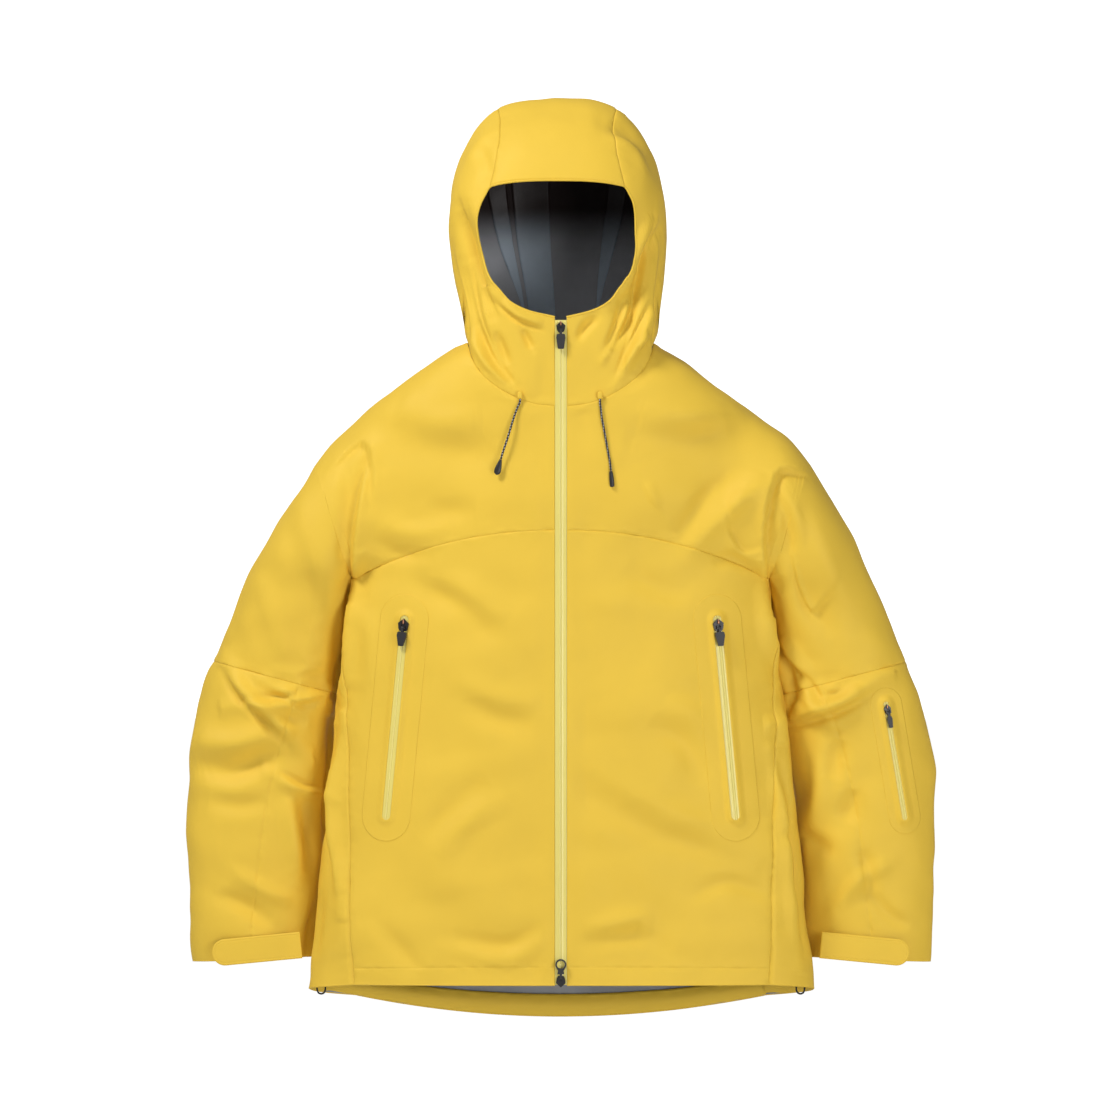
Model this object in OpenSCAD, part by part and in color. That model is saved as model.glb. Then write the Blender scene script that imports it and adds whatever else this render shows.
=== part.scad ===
// Hooded hardshell jacket, closed and hanging as if worn, in millimetres.
// The origin is the hanger loop at the centre of the back neck. +Z is up and the front faces -Y.
// Left and right are the wearer's, so the left side is +X.

/* [Body] */
// Distance from the back neck down to the front hem
front_length = 748; // [730:1:760]
// How much lower the back hem hangs than the front hem
hem_drop = 37; // [25:1:45]
// Half of the body's width at the hem
hem_half = 307; // [300:1:312]
// Half of the body's width at the underarm
chest_half = 252; // [248:1:256]
// Depth of the body from front to back
body_depth = 190; // [180:1:200]
// Thickness of the three-layer fabric
fabric_t = 1.2; // [1:0.1:1.6]

/* [Hood] */
// Half of the hood's greatest width
hood_half = 131; // [128:1:134]
// Height of the hood's crown above the back neck
hood_height = 318; // [312:1:322]

/* [Front zip] */
// Width of the two zip tapes together
zip_w = 14; // [13:0.5:16]
// Height of the zip's top end above the back neck
zip_top = 50; // [44:1:52]
// Travel of the top slider
top_slider_travel = 420; // [100:10:440]

/* [Pockets] */
// Width of a hand pocket's zip
pocket_zip_w = 12; // [10:0.5:14]
// Width of the sleeve pocket's zip
sleeve_zip_w = 8; // [7:0.5:9]

/* [Cuffs] */
// Length of the cuff's tab
tab_length = 108; // [96:1:110]
// Height of the cuff's tab
tab_height = 32; // [28:1:33]

/* [Cords] */
// Diameter of the hood's cord
cord_d = 2.6; // [2.4:0.1:3]
// Diameter of the elastic cord in the hem
hem_cord_d = 2.8; // [2.4:0.1:3]

/* [Hidden] */

shell_colour = [0.91, 0.76, 0.31];
zip_colour = [0.90, 0.83, 0.46];
hardware_colour = [0.07, 0.07, 0.08];
lining_colour = [0.36, 0.37, 0.39];

seam_gap = 0.4;      // clearance between panels that are sewn edge to edge
round_n = 2.2;       // how square the body's and the sleeve's cross-sections are; 2 is an ellipse
front_y = -140;      // plane of the front zip
zip_half = zip_w / 2;
panel_edge = zip_half + seam_gap;
side_seam_x = 246;
armhole_x = 225;
neck_x = 112;        // the neck seam meets the shoulder line here
neck_side_z = 24;
neck_front_z = -53;
shoulder_x = 248;    // the shoulder line ends here, above the sleeve's outer edge
shoulder_z = -71;
armpit_z = -262;
back_hem_z = -front_length - hem_drop;
seam_reach = 250;    // the yoke seams are drawn as curves over this half-width
seam_curve = 2.2;    // and bend more sharply the higher this is
yoke_seam_z = -202;  // the front yoke seam at the zip, and how far it falls towards the armhole
yoke_seam_fall = 60;
back_seam_z = -170;  // the same at the back
back_seam_fall = 92;

// Half-width of the body, and the place of its back, by height
width_by_z = [[back_hem_z, hem_half], [-front_length, hem_half], [-646, 296], [-526, 283],
    [-406, 269],
    [armpit_z, chest_half], [shoulder_z, shoulder_x],
    [neck_side_z, neck_x]];
back_by_z = [[armpit_z, body_depth + front_y], [-150, body_depth + front_y - 3], [-70, 35],
    [0, 5], [neck_side_z, 0]];

function half_width(z) = lookup(z, width_by_z);
function back_y(z) = lookup(z, back_by_z);
function mid_y(z) = (back_y(z) + front_y) / 2;
function half_depth(z) = (back_y(z) - front_y) / 2;
function bulge(q) = pow(max(0, 1 - pow(min(1, abs(q)), round_n)), 1 / round_n);
// Half of the thickness that the body has at (x, z), less an inset; the fabric keeps its thickness at a seam
function body_half(x, z, inset) = max(seam_gap / 2 + fabric_t - min(inset, fabric_t),
    half_depth(z) * bulge(x / half_width(z)) - inset);
function front_skin(x, z, inset = 0) = [x, mid_y(z) - body_half(x, z, inset), z];
function back_skin(x, z, inset = 0) = [x, mid_y(z) + body_half(x, z, inset), z];

// Seams and hems, as heights over x
function yoke_seam(x) = yoke_seam_z - yoke_seam_fall * pow(abs(x) / seam_reach, seam_curve);
function back_yoke_seam(x) = back_seam_z - back_seam_fall * pow(abs(x) / seam_reach, seam_curve);
function back_hem(x) = back_hem_z + hem_drop * pow(abs(x) / hem_half, 2);
function shoulder_line(x) =
    neck_side_z + (abs(x) - neck_x) * (shoulder_z - neck_side_z) / (shoulder_x - neck_x);
function neck_front(x) = neck_front_z + (neck_side_z - neck_front_z) * pow(abs(x) / neck_x, 5);
function neck_back(x) = neck_side_z * pow(abs(x) / neck_x, 4);

function mix(a, b, t) = a + (b - a) * t;
function unit(v) = v / norm(v);

// A closed sheet between two grids of points, outer[i][j] and inner[i][j]
module sheet(outer, inner) {
    nu = len(outer);
    nv = len(outer[0]);
    half = nu * nv;
    function quad(a, b, c, d) = [[a, c, b], [a, d, c]];
    polyhedron(
        points = concat([for (row = outer) each row], [for (row = inner) each row]),
        faces = [
            for (i = [0:nu - 2], j = [0:nv - 2])
                let (a = i * nv + j, b = a + nv)
                each concat(quad(a, b, b + 1, a + 1),
                    quad(half + a, half + a + 1, half + b + 1, half + b)),
            for (i = [0:nu - 2])
                let (a = i * nv, b = a + nv, c = a + nv - 1, d = c + nv)
                each concat(quad(a, half + a, half + b, b), quad(c, d, half + d, half + c)),
            for (j = [0:nv - 2])
                let (a = j, b = j + 1, c = (nu - 1) * nv + j, d = c + 1)
                each concat(quad(a, b, half + b, half + a), quad(c, half + c, half + d, d))]);
}

// A closed tube wall between two grids, round in j and open at both ends in i
module tube_wall(outer, inner) {
    nu = len(outer);
    nv = len(outer[0]);
    half = nu * nv;
    function quad(a, b, c, d) = [[a, c, b], [a, d, c]];
    polyhedron(
        points = concat([for (row = outer) each row], [for (row = inner) each row]),
        faces = [
            for (i = [0:nu - 2], j = [0:nv - 1])
                let (k = (j + 1) % nv, a = i * nv + j, b = i * nv + k, c = a + nv, d = b + nv)
                each concat(quad(a, c, d, b), quad(half + a, half + b, half + d, half + c)),
            for (j = [0:nv - 1])
                let (k = (j + 1) % nv, e = (nu - 1) * nv)
                each concat(quad(j, k, half + k, half + j),
                    quad(e + j, half + e + j, half + e + k, e + k))]);
}

// A solid tube along points, with flat ends
module rope(route, d, sides = 8) {
    last = len(route) - 1;
    function along(i) = unit(route[min(last, i + 1)] - route[max(0, i - 1)]);
    function across(i) = unit(cross(along(i), [0.31, 0.95, 0.07]));
    rings = [for (i = [0:last])
        let (u = across(i), w = cross(along(i), u))
        [for (k = [0:sides - 1]) route[i] + d / 2 * (cos(360 * k / sides) * u + sin(360 * k / sides) * w)]];
    polyhedron(
        points = [for (r = rings) each r],
        faces = concat(
            [[for (k = [0:sides - 1]) k]],
            [[for (k = [sides - 1:-1:0]) last * sides + k]],
            [for (i = [0:last - 1], k = [0:sides - 1])
                let (a = i * sides + k, b = i * sides + (k + 1) % sides)
                each [[a, a + sides, b], [b, a + sides, b + sides]]]));
}

// ---- body panels ----

steps = 12;          // divisions across a panel
rows = 14;           // divisions down a panel
back_steps = 20;
back_rows = 12;

// Divisions of a panel's height, closer together towards its top
function crowded(share) = 1 - pow(1 - share, 1.6);

// A panel of the front over x from x0 to x1, between the height functions low and high
module front_patch(x0, x1, low, high, inset = 0, thick = fabric_t, nx = steps, nz = rows) {
    grid = [for (s = [inset, inset + thick])
        [for (i = [0:nx])
            let (x = mix(x0, x1, i / nx))
            [for (j = [0:nz])
                front_skin(x, mix(low(x), high(x), crowded(j / nz)), s)]]];
    sheet(grid[0], grid[1]);
}

module back_patch(x0, x1, low, high, nx = back_steps, nz = back_rows) {
    grid = [for (s = [fabric_t, 0])
        [for (i = [0:nx])
            let (x = mix(x0, x1, (1 - cos(180 * i / nx)) / 2))
            [for (j = [0:nz])
                back_skin(x, mix(low(x), high(x), crowded(j / nz)), s)]]];
    sheet(grid[0], grid[1]);
}

module front_panel() {
    color(shell_colour)
    front_patch(panel_edge, side_seam_x, function(x) -front_length,
        function(x) yoke_seam(x) - seam_gap);
}

module front_yoke() {
    color(shell_colour)
    front_patch(panel_edge, armhole_x, function(x) yoke_seam(x),
        function(x) abs(x) < neck_x ? neck_front(x) : shoulder_line(x));
}

module back_panel() {
    color(shell_colour)
    back_patch(-side_seam_x, side_seam_x, function(x) back_hem(x),
        function(x) back_yoke_seam(x) - seam_gap);
}

module back_yoke() {
    color(shell_colour)
    back_patch(-armhole_x, armhole_x, function(x) back_yoke_seam(x),
        function(x) abs(x) < neck_x ? neck_back(x) : shoulder_line(x));
}

// The side panel wraps round the body's edge from the front seam to the back seam
side_panel_top_z = armpit_z - 14;
module side_panel() {
    seam_x = side_seam_x + seam_gap;
    function place(t, v, inset) =
        let (z = mix(mix(-front_length, back_hem(seam_x), (t + 1) / 2), side_panel_top_z, v),
            a = half_width(z) - inset,
            b = half_depth(z) - inset,
            phi = t * acos(pow(min(1, seam_x / a), round_n / 2)))
        [a * pow(cos(phi), 2 / round_n),
            mid_y(z) + sign(phi) * b * pow(abs(sin(phi)), 2 / round_n), z];
    grid = [for (s = [0, fabric_t])
        [for (i = [0:12]) [for (j = [0:rows]) place(i / 6 - 1, j / rows, s)]]];
    color(shell_colour) sheet(grid[0], grid[1]);
}

// ---- sleeves ----
// Each rung crosses the sleeve: [inner x, inner z, outer x, outer z, half-depth, centre y]
cap_rungs = [[226, -254, 226, -57, 55, -45], [244, -262, 285, -108, 60, -45],
    [256, -271, 345, -202, 60, -42]];
upper_rungs = [[256.4, -271.6, 345.4, -202.6, 60, -42], [257, -318, 371, -254, 60, -20],
    [260, -362, 396, -308, 58, -9], [265, -401, 417, -361, 57, -5]];
forearm_rungs = [[265, -401.5, 417, -361.5, 57, -5], [269, -450, 438, -420, 56, -5],
    [274, -500, 450, -482, 54, -5], [281, -560, 453, -550, 51, -5], [286, -620, 451, -620, 48, -5],
    [291, -680, 449, -684, 45, -5], [294, -716, 446, -722, 43, -5]];

// A point on the sleeve: rung number r (may lie between two), angle around it, inset from the skin
function rung(rungs, r) =
    let (k = min(len(rungs) - 2, floor(r))) mix(rungs[k], rungs[k + 1], r - k);
function sleeve_point(rungs, r, angle, inset) =
    let (g = rung(rungs, r),
        across = [g[2] - g[0], 0, g[3] - g[1]],
        half = norm(across) / 2 - inset,
        q = -cos(angle),
        s = sin(angle),
        squash = pow(pow(abs(q), round_n) + pow(abs(s), round_n), -1 / round_n))
    [(g[0] + g[2]) / 2, g[5], (g[1] + g[3]) / 2] + unit(across) * half * q * squash
        - [0, (g[4] - inset) * s * squash, 0];

module sleeve_tube(rungs, per_rung = 3, around = 28) {
    n = (len(rungs) - 1) * per_rung;
    grid = [for (s = [0, fabric_t])
        [for (i = [0:n])
            [for (j = [0:around - 1]) sleeve_point(rungs, i / per_rung, 360 * j / around, s)]]];
    tube_wall(grid[0], grid[1]);
}

// Part of a sleeve's wall, between two angles
module sleeve_panel(rungs, from, to, per_rung = 2, around = 14) {
    n = (len(rungs) - 1) * per_rung;
    grid = [for (s = [0, fabric_t])
        [for (i = [0:n])
            [for (j = [0:around])
                sleeve_point(rungs, i / per_rung, mix(from, to, j / around), s)]]];
    sheet(grid[0], grid[1]);
}

module sleeve_cap() { color(shell_colour) sleeve_tube(cap_rungs); }
module upper_sleeve() { color(shell_colour) sleeve_tube(upper_rungs); }
// The forearm's seam runs down the front at a third of its width, and down the back to match
forearm_seam = 68;
forearm_seam_gap = 0.3;   // degrees between the seam and each panel's edge
module forearm_inner() {
    edge = forearm_seam - forearm_seam_gap;
    color(shell_colour) sleeve_panel(forearm_rungs, -edge, edge);
}
module forearm_outer() {
    edge = forearm_seam + forearm_seam_gap;
    color(shell_colour) sleeve_panel(forearm_rungs, edge, 360 - edge);
}

// Front of the forearm at (x, z), by rungs that are nearly level
function forearm_front(x, z) =
    let (inner_x = lookup(z, [for (g = forearm_rungs) [g[1], g[0]]]),
        outer_x = lookup(z, [for (g = forearm_rungs) [g[3], g[2]]]),
        deep = lookup(z, [for (g = forearm_rungs) [(g[1] + g[3]) / 2, g[4]]]))
    -5 - deep * bulge((x - (inner_x + outer_x) / 2) / ((outer_x - inner_x) / 2));

// ---- hood ----
// The hood is a rounded shell about the line through both ears. A direction is an angle seen from
// the side, 0 to the front and 90 up; reach is the distance to the skin on the centre plane.
hood_y = -45;
hood_z = 150;
hood_n = 2.8;
chin_reach = hood_y - front_y;
reach_by_angle = [[-107, 157], [-103, 168], [-98, 184], [-85, 205], [-66, chin_reach / cos(66)],
    [-64, chin_reach / cos(64)], [-60, chin_reach / cos(60)], [-52, chin_reach / cos(52)],
    [-45, chin_reach / cos(45)], [-30, 111], [-10, 100], [10, 104], [33, 122], [50, 136], [70, 153],
    [90, hood_height - hood_z], [110, 158], [130, 140], [150, 122], [170, 110], [190, 107],
    [210, 112], [230, 128], [245, 147], [253, 157]];
function reach(angle) = lookup(angle, reach_by_angle);
function hood_side_x(share) = hood_half * pow(max(0, 1 - pow(share, hood_n)), 1 / hood_n);
function hood_share(x) = pow(1 - pow(min(1, abs(x) / hood_half), hood_n), 1 / hood_n);
// A point of the hood's left half, by direction and share of the reach
function hood_point(angle, share, inset) =
    let (r = (reach(angle) - inset) * share)
    [hood_side_x(share) * (hood_half - inset) / hood_half,
        hood_y - r * cos(angle), hood_z + r * sin(angle)];

// Half of the centre panel's width
centre_half_by_angle = [[28, 84], [62, 73], [95, 71], [135, 65], [180, 55], [232, 45], [253, 44]];
function centre_half(angle) = lookup(angle, centre_half_by_angle);

// Edges of the side panel from the zip round to the back, [angle, share]. The neck seam is below;
// above is the face opening's edge, and past brim_angle the centre panel's seam.
brim_angle = 32;
hood_low_edge = [[-64.6, hood_share(panel_edge)], [-64, hood_share(50)], [-63.4, hood_share(80)],
    [-65, 0.69], [-74, 0.58], [-85, 0.57], [-93, 0.61], [-99, 0.66], [-102, 0.78],
    [-104, 0.90], [-106, hood_share(45)]];
hood_high_angles = [-45.5, -43, -35, -18, 8, brim_angle, 62, 95, 135, 180, 232];
opening_by_angle = [[-45.5, panel_edge], [-43, 45], [-35, 76], [-18, 92], [8, 95], [brim_angle, 86]];
function high_edge_x(angle) =
    angle > brim_angle ? centre_half(angle) + 2 * seam_gap : lookup(angle, opening_by_angle);

function disc(angle, share) = share * [cos(angle), sin(angle)];
function hood_disc(p, inset) =
    let (a = atan2(p[1], p[0])) hood_point(a < -107 ? a + 360 : a, norm(p), inset);
function along_list(list, t) =
    let (k = min(len(list) - 2, floor(t * (len(list) - 1))))
    mix(list[k], list[k + 1], t * (len(list) - 1) - k);
function low_edge(t) = let (e = along_list(hood_low_edge, t)) disc(e[0], e[1]);
function high_edge(t) = let (a = along_list(hood_high_angles, t)) disc(a, hood_share(high_edge_x(a)));
function zip_edge(t) =
    disc(mix(hood_low_edge[0][0], hood_high_angles[0], t), hood_share(panel_edge));
back_edge_angles = [254, 232];
function back_edge(t) = disc(mix(back_edge_angles[0], back_edge_angles[1], t),
    hood_share(centre_half(back_edge_angles[1]) + 2 * seam_gap));

// The panel is stretched between its four edges
module hood_side(n = 30, up = 10) {
    function stretched(u, v) =
        mix(low_edge(u), high_edge(u), v) + mix(zip_edge(v), back_edge(v), u)
        - mix(mix(low_edge(0), high_edge(0), v), mix(low_edge(1), high_edge(1), v), u);
    grid = [for (s = [0, fabric_t])
        [for (i = [0:n]) [for (j = [0:up]) hood_disc(stretched(i / n, j / up), s)]]];
    color(shell_colour) sheet(grid[0], grid[1]);
}

// A strip of the hood across its centre plane, between two directions
module hood_strip(from, to, half_x, inset, thick, n, across = 10) {
    grid = [for (s = [inset, inset + thick])
        [for (i = [0:across])
            [for (j = [0:n])
                let (angle = mix(from, to, j / n),
                    x = half_x(angle) * (2 * i / across - 1),
                    p = hood_point(angle, hood_share(x), s))
                [x, p[1], p[2]]]]];
    sheet(grid[0], grid[1]);
}

centre_panel_angles = [40, 252];
brim_strip_angles = [33, 39.6];
brim_extra_t = 0.6;  // the brim is stiffened, so it is thicker than the fabric by this much
module hood_centre_panel() {
    color(shell_colour)
    hood_strip(centre_panel_angles[0], centre_panel_angles[1], function(a) centre_half(a), 0, fabric_t, 32);
}

// The brim's stiffened edge over the face opening
module hood_brim() {
    color(shell_colour)
    hood_strip(brim_strip_angles[0], brim_strip_angles[1], function(a) centre_half(a), 0,
        fabric_t + brim_extra_t, 3);
}

// ---- front zip ----

zip_length = zip_top + front_length;
tape_y = front_y - 0.2;    // outer face of the tapes
tape_t = 1;
tape_gap = 0.05;           // the tapes meet at the centre with this much clearance each
coil_d = 2.4;
coil_y = front_y + 2.1;    // the coil runs behind the tapes
coil_start = 12;           // above the lower ends of the tapes
coil_short = 22;           // the coil is shorter than the tapes by this much

module front_zip_tape() {
    color(zip_colour)
    translate([tape_gap, tape_y, -front_length])
    cube([zip_half - tape_gap, tape_t, zip_length]);
}

module front_zip_coil() {
    color(zip_colour)
    translate([0, coil_y, -front_length + coil_start])
    cylinder(d = coil_d, h = zip_length - coil_short, $fn = 24);
}

// Top stops, and the pin and box that join the two halves at the hem
module front_zip_stops() {
    color(hardware_colour) {
        for (side = [-1, 1])
            translate([side * 1.9 - 1.2, front_y + 1.1, zip_top - 6]) cube([2.4, 2, 4]);
        translate([-3.6, front_y + 1.1, -front_length + 1]) cube([7.2, 2.2, 9]);
    }
}

flap_half = 22;
flap_short = 12;     // the flap stops this far from each end of the zip
flap_inset = 5.5;
flap_t = 1;
module storm_flap() {
    color(lining_colour)
    front_patch(-flap_half, flap_half, function(x) flap_short - front_length,
        function(x) zip_top - flap_short, flap_inset, flap_t, nx = 4, nz = 10);
}

// ---- sliders and pulls ----
// Zip parts are drawn with the zip along Z, its face towards -Y and the slider's centre at the origin.

hinge_y = -4.6;      // the pull turns about X through this point
hinge_z = -3.5;
bar_r = 0.7;
eye_r = 1.4;
eye_gap = 0.08;      // running clearance of the pull's eye on the bar

// The slider's shield, its flanks and the bridge that the pull hangs from
module slider(w, h) {
    color(hardware_colour) {
        difference() {
            translate([0, -0.5, 0])
            rotate([90, 0, 0])
            linear_extrude(2.4)
            polygon([[0, h / 2], [w / 2, h * 0.12], [w * 0.42, -h * 0.30], [w * 0.28, -h / 2],
                [-w * 0.28, -h / 2], [-w * 0.42, -h * 0.30], [-w / 2, h * 0.12]]);
            translate([-w * 0.14, -3.1, -h * 0.10]) cube([w * 0.28, 1, h * 0.42]);
        }
        for (side = [-1, 1])
            translate([side * 2.4 - 0.6, -6, hinge_z - 1.6]) cube([1.2, 3.2, 4]);
        translate([-3, hinge_y, hinge_z]) rotate([0, 90, 0]) cylinder(r = bar_r, h = 6, $fn = 20);
    }
}

// The pull hangs from the bridge's bar; its grip is a moulded tab
module pull(w, h, tip) {
    color(hardware_colour)
    translate([0, hinge_y, hinge_z]) {
        difference() {
            union() {
                rotate([0, 90, 0]) translate([0, 0, -1.5]) cylinder(r = eye_r, h = 3, $fn = 28);
                translate([-1.5, -1.1, -6]) cube([3, 2.2, 5]);
            }
            rotate([0, 90, 0]) translate([0, 0, -2]) cylinder(r = bar_r + eye_gap, h = 4, $fn = 28);
        }
        translate([0, 1.4, -5.2])
        rotate([90, 0, 0])
        linear_extrude(2.8)
        offset(1)
        polygon([[-w / 2 + 1.6, -1], [w / 2 - 1.6, -1], [w / 2 - 1, -h * 0.25], [tip / 2 - 1, -h + 1],
            [-tip / 2 + 1, -h + 1], [-w / 2 + 1, -h * 0.25]]);
    }
}

// The bottom slider's pull stands up along the tape and ends in a ring
module ring_pull() {
    color(hardware_colour)
    translate([0, hinge_y, -hinge_z])
    difference() {
        union() {
            rotate([0, 90, 0]) translate([0, 0, -1.5]) cylinder(r = eye_r, h = 3, $fn = 28);
            translate([-1.5, -1.1, 1]) cube([3, 2.2, 5]);
            translate([0, 1, 0])
            rotate([90, 0, 0])
            linear_extrude(2)
            hull() {
                translate([0, 6]) square([8, 1], center = true);
                translate([0, 10]) square([6.6, 1], center = true);
            }
            translate([0, 1, 0])
            rotate([90, 0, 0])
            linear_extrude(2)
            hull() {
                translate([0, 10]) square([6.6, 1], center = true);
                translate([0, 17]) circle(d = 13.4, $fn = 40);
            }
        }
        rotate([0, 90, 0]) translate([0, 0, -2]) cylinder(r = bar_r + eye_gap, h = 4, $fn = 28);
        translate([0, 3, 17]) rotate([90, 0, 0]) cylinder(d = 9.4, h = 8, $fn = 40);
    }
}

slider_h = 13;
top_slider_z = zip_top - 8;
bottom_slider_z = -front_length + 4;
front_face = [0, tape_y, 0];

module front_slider_top() {
    translate(front_face + [0, 0, top_slider_z]) slider(11, slider_h);
}
module front_pull_top() {
    translate(front_face + [0, 0, top_slider_z]) pull(11.2, 18, 7.5);
}
module front_slider_bottom() {
    translate(front_face + [0, 0, bottom_slider_z]) mirror([0, 0, 1]) slider(11.8, slider_h + 1);
}
module front_pull_bottom() {
    translate(front_face + [0, 0, bottom_slider_z]) ring_pull();
}

// ---- hand pockets, drawn on the left ----

pocket_top = [187, -304];
pocket_bottom = [210, -551];
pocket_lift = 1.6;   // the tape's underside stands off the curved panel by at least this much

// Turns and moves a zip's parts from their own frame onto a face
module on_face(centre, along, across) {
    a = unit(across - along * (across * along));
    inward = cross(along, a);
    multmatrix([[a[0], inward[0], along[0], centre[0]], [a[1], inward[1], along[1], centre[1]],
        [a[2], inward[2], along[2], centre[2]]]) children();
}

pocket_ends = [front_skin(pocket_top[0], pocket_top[1]), front_skin(pocket_bottom[0], pocket_bottom[1])];
pocket_along = unit(pocket_ends[0] - pocket_ends[1]);
pocket_length = norm(pocket_ends[0] - pocket_ends[1]);
pocket_mid = (pocket_ends[0] + pocket_ends[1]) / 2 - [0, pocket_lift, 0];
pocket_across = front_skin(208, -427) - front_skin(188, -427);
pocket_slider_z = pocket_length / 2 - 12;

module at_pocket() { on_face(pocket_mid, pocket_along, pocket_across) children(); }

// A coated zip let into the fabric: a tape with round ends, and a fine ridge where its halves meet
module pocket_zip_shape(w, length) {
    color(zip_colour) {
        rotate([90, 0, 0])
        linear_extrude(1)
        union() {
            square([w, length - w], center = true);
            for (side = [-1, 1]) translate([0, side * (length - w) / 2]) circle(d = w, $fn = 36);
        }
        translate([-0.5, -1.3, -(length - w) / 2]) cube([1, 0.4, length - w]);
    }
}

module pocket_zip() { at_pocket() pocket_zip_shape(pocket_zip_w, pocket_length); }
module pocket_slider() { at_pocket() translate([0, -1.2, pocket_slider_z]) slider(13.6, 15); }
module pocket_pull() { at_pocket() translate([0, -1.2, pocket_slider_z]) pull(11.9, 17, 6.5); }

module pocket_bag() {
    color(lining_colour)
    front_patch(96, 232, function(x) -640 + 0.02 * pow(x - 164, 2), function(x) -284, 6, 1, nx = 8, nz = 10);
}

// ---- sleeve pocket, on the left sleeve ----

sleeve_zip_top = [391, -408];
sleeve_zip_bottom = [415, -552];
function on_forearm(x, z) = [x, forearm_front(x, z), z];
sleeve_ends = [on_forearm(sleeve_zip_top[0], sleeve_zip_top[1]),
    on_forearm(sleeve_zip_bottom[0], sleeve_zip_bottom[1])];
sleeve_along = unit(sleeve_ends[0] - sleeve_ends[1]);
sleeve_zip_length = norm(sleeve_ends[0] - sleeve_ends[1]);
sleeve_mid = (sleeve_ends[0] + sleeve_ends[1]) / 2 - [0, 2.6, 0];
sleeve_across = on_forearm(413, -480) - on_forearm(393, -480);
sleeve_slider_z = sleeve_zip_length / 2 - 10;

module at_sleeve_zip() { on_face(sleeve_mid, sleeve_along, sleeve_across) children(); }
module sleeve_zip() { at_sleeve_zip() pocket_zip_shape(sleeve_zip_w, sleeve_zip_length); }
module sleeve_slider() { at_sleeve_zip() translate([0, -1.2, sleeve_slider_z]) slider(8.4, 12); }
module sleeve_pull() { at_sleeve_zip() translate([0, -1.2, sleeve_slider_z]) pull(6.4, 14, 4.6); }
module sleeve_pocket_bag() {
    color(lining_colour)
    at_sleeve_zip() translate([-34, 13, -88]) cube([52, 1, 160]);
}

// ---- cuff closures, drawn on the left ----
// The tab is sewn at its inner end and pressed onto a loop patch at its outer end.

tab_root = [313, -51.5, -702];
tab_tilt = 5.5;
tab_t = 1.4;
patch_t = 1;
function tab_outline() = [for (a = [-90:10:90]) [tab_length - tab_height / 2 + tab_height / 2 * cos(a),
    tab_height / 2 * sin(a)]];

module at_tab() {
    translate(tab_root) rotate([0, tab_tilt, 0]) rotate([90, 0, 0]) children();
}
module cuff_tab() {
    color(shell_colour) at_tab()
    translate([0, 0, 0.4]) linear_extrude(tab_t)
    polygon(concat([[0, tab_height / 2], [0, -tab_height / 2]], tab_outline()));
}
module cuff_hook_patch() {
    color(hardware_colour) at_tab()
    translate([tab_length - 56, -tab_height / 2 + 4, -patch_t + 0.35])
    cube([48, tab_height - 8, patch_t]);
}
module cuff_loop_patch() {
    color(hardware_colour) at_tab()
    translate([tab_length - 92, -tab_height / 2 + 4, -2 * patch_t])
    cube([84, tab_height - 8, patch_t]);
}

// ---- hood cords ----
// Each route starts in the eyelet at the neck seam and lies down the chest.

cord_y = -141.5;
left_cord_route = [[47, cord_y, -42], [47, cord_y, -48], [48, cord_y, -57], [49, cord_y, -66],
    [51, cord_y, -77], [53, cord_y, -88], [55, cord_y, -99], [57, cord_y, -110],
    [59, cord_y, -121], [60, cord_y, -131]];
right_cord_route = [[-49, cord_y, -42], [-49, cord_y, -47], [-52, cord_y, -55], [-55, cord_y, -63],
    [-58, cord_y, -72], [-61, cord_y, -82], [-64, cord_y, -92], [-67, cord_y, -101],
    [-70, cord_y, -110], [-72, cord_y, -117]];

module hood_cord(route) { color(hardware_colour) rope(route, cord_d); }

// A moulded end on the cord, wider towards its tip
module hood_cord_end(route, w, deep = 3.6) {
    tail = route[len(route) - 1];
    heading = unit(tail - route[len(route) - 3]);
    tilt = atan2(heading[0], -heading[2]);
    color(hardware_colour)
    translate(tail + heading * 0.2)
    rotate([0, -tilt, 0])
    rotate([0, 180, 0])
    rotate([90, 0, 0])
    translate([0, 0, -deep / 2])
    linear_extrude(deep)
    offset(1.2)
    polygon([[-0.5, 1.2], [0.5, 1.2], [w / 2 - 1.2, 12], [w / 2 - 1.6, 18], [-w / 2 + 1.6, 18],
        [-w / 2 + 1.2, 12]]);
}

module hood_cord_eyelets() {
    color(shell_colour)
    for (route = [left_cord_route, right_cord_route])
        translate(route[0] + [0, 0, 1.2])
        difference() {
            cube([7, 4.6, 9], center = true);
            translate([0, 0, -6]) cylinder(d = cord_d + 0.8, h = 9, $fn = 24);
        }
}

// ---- hem adjuster ----

hem_inset = 5;
hem_cord_z = -front_length + 7;
// The elastic cord runs round the hem inside its fold, between the two cord locks
function hem_route_point(t) =
    let (a = hem_half - hem_inset, b = body_depth / 2 - hem_inset,
        squash = pow(pow(abs(cos(t)), round_n) + pow(abs(sin(t)), round_n), -1 / round_n),
        y = mid_y(-600) + b * sin(t) * squash)
    [a * cos(t) * squash, y, hem_cord_z - (sin(t) > 0 ? 30 * sin(t) : 0)];
lock_angle = -12;
module hem_cord() {
    color(hardware_colour) {
        rope([for (k = [0:30]) hem_route_point(mix(lock_angle + 4, 176 - lock_angle, k / 30))], hem_cord_d);
        rope([for (k = [0:26]) hem_route_point(mix(184 - lock_angle, 356 + lock_angle, k / 26))], hem_cord_d);
    }
}

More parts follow.
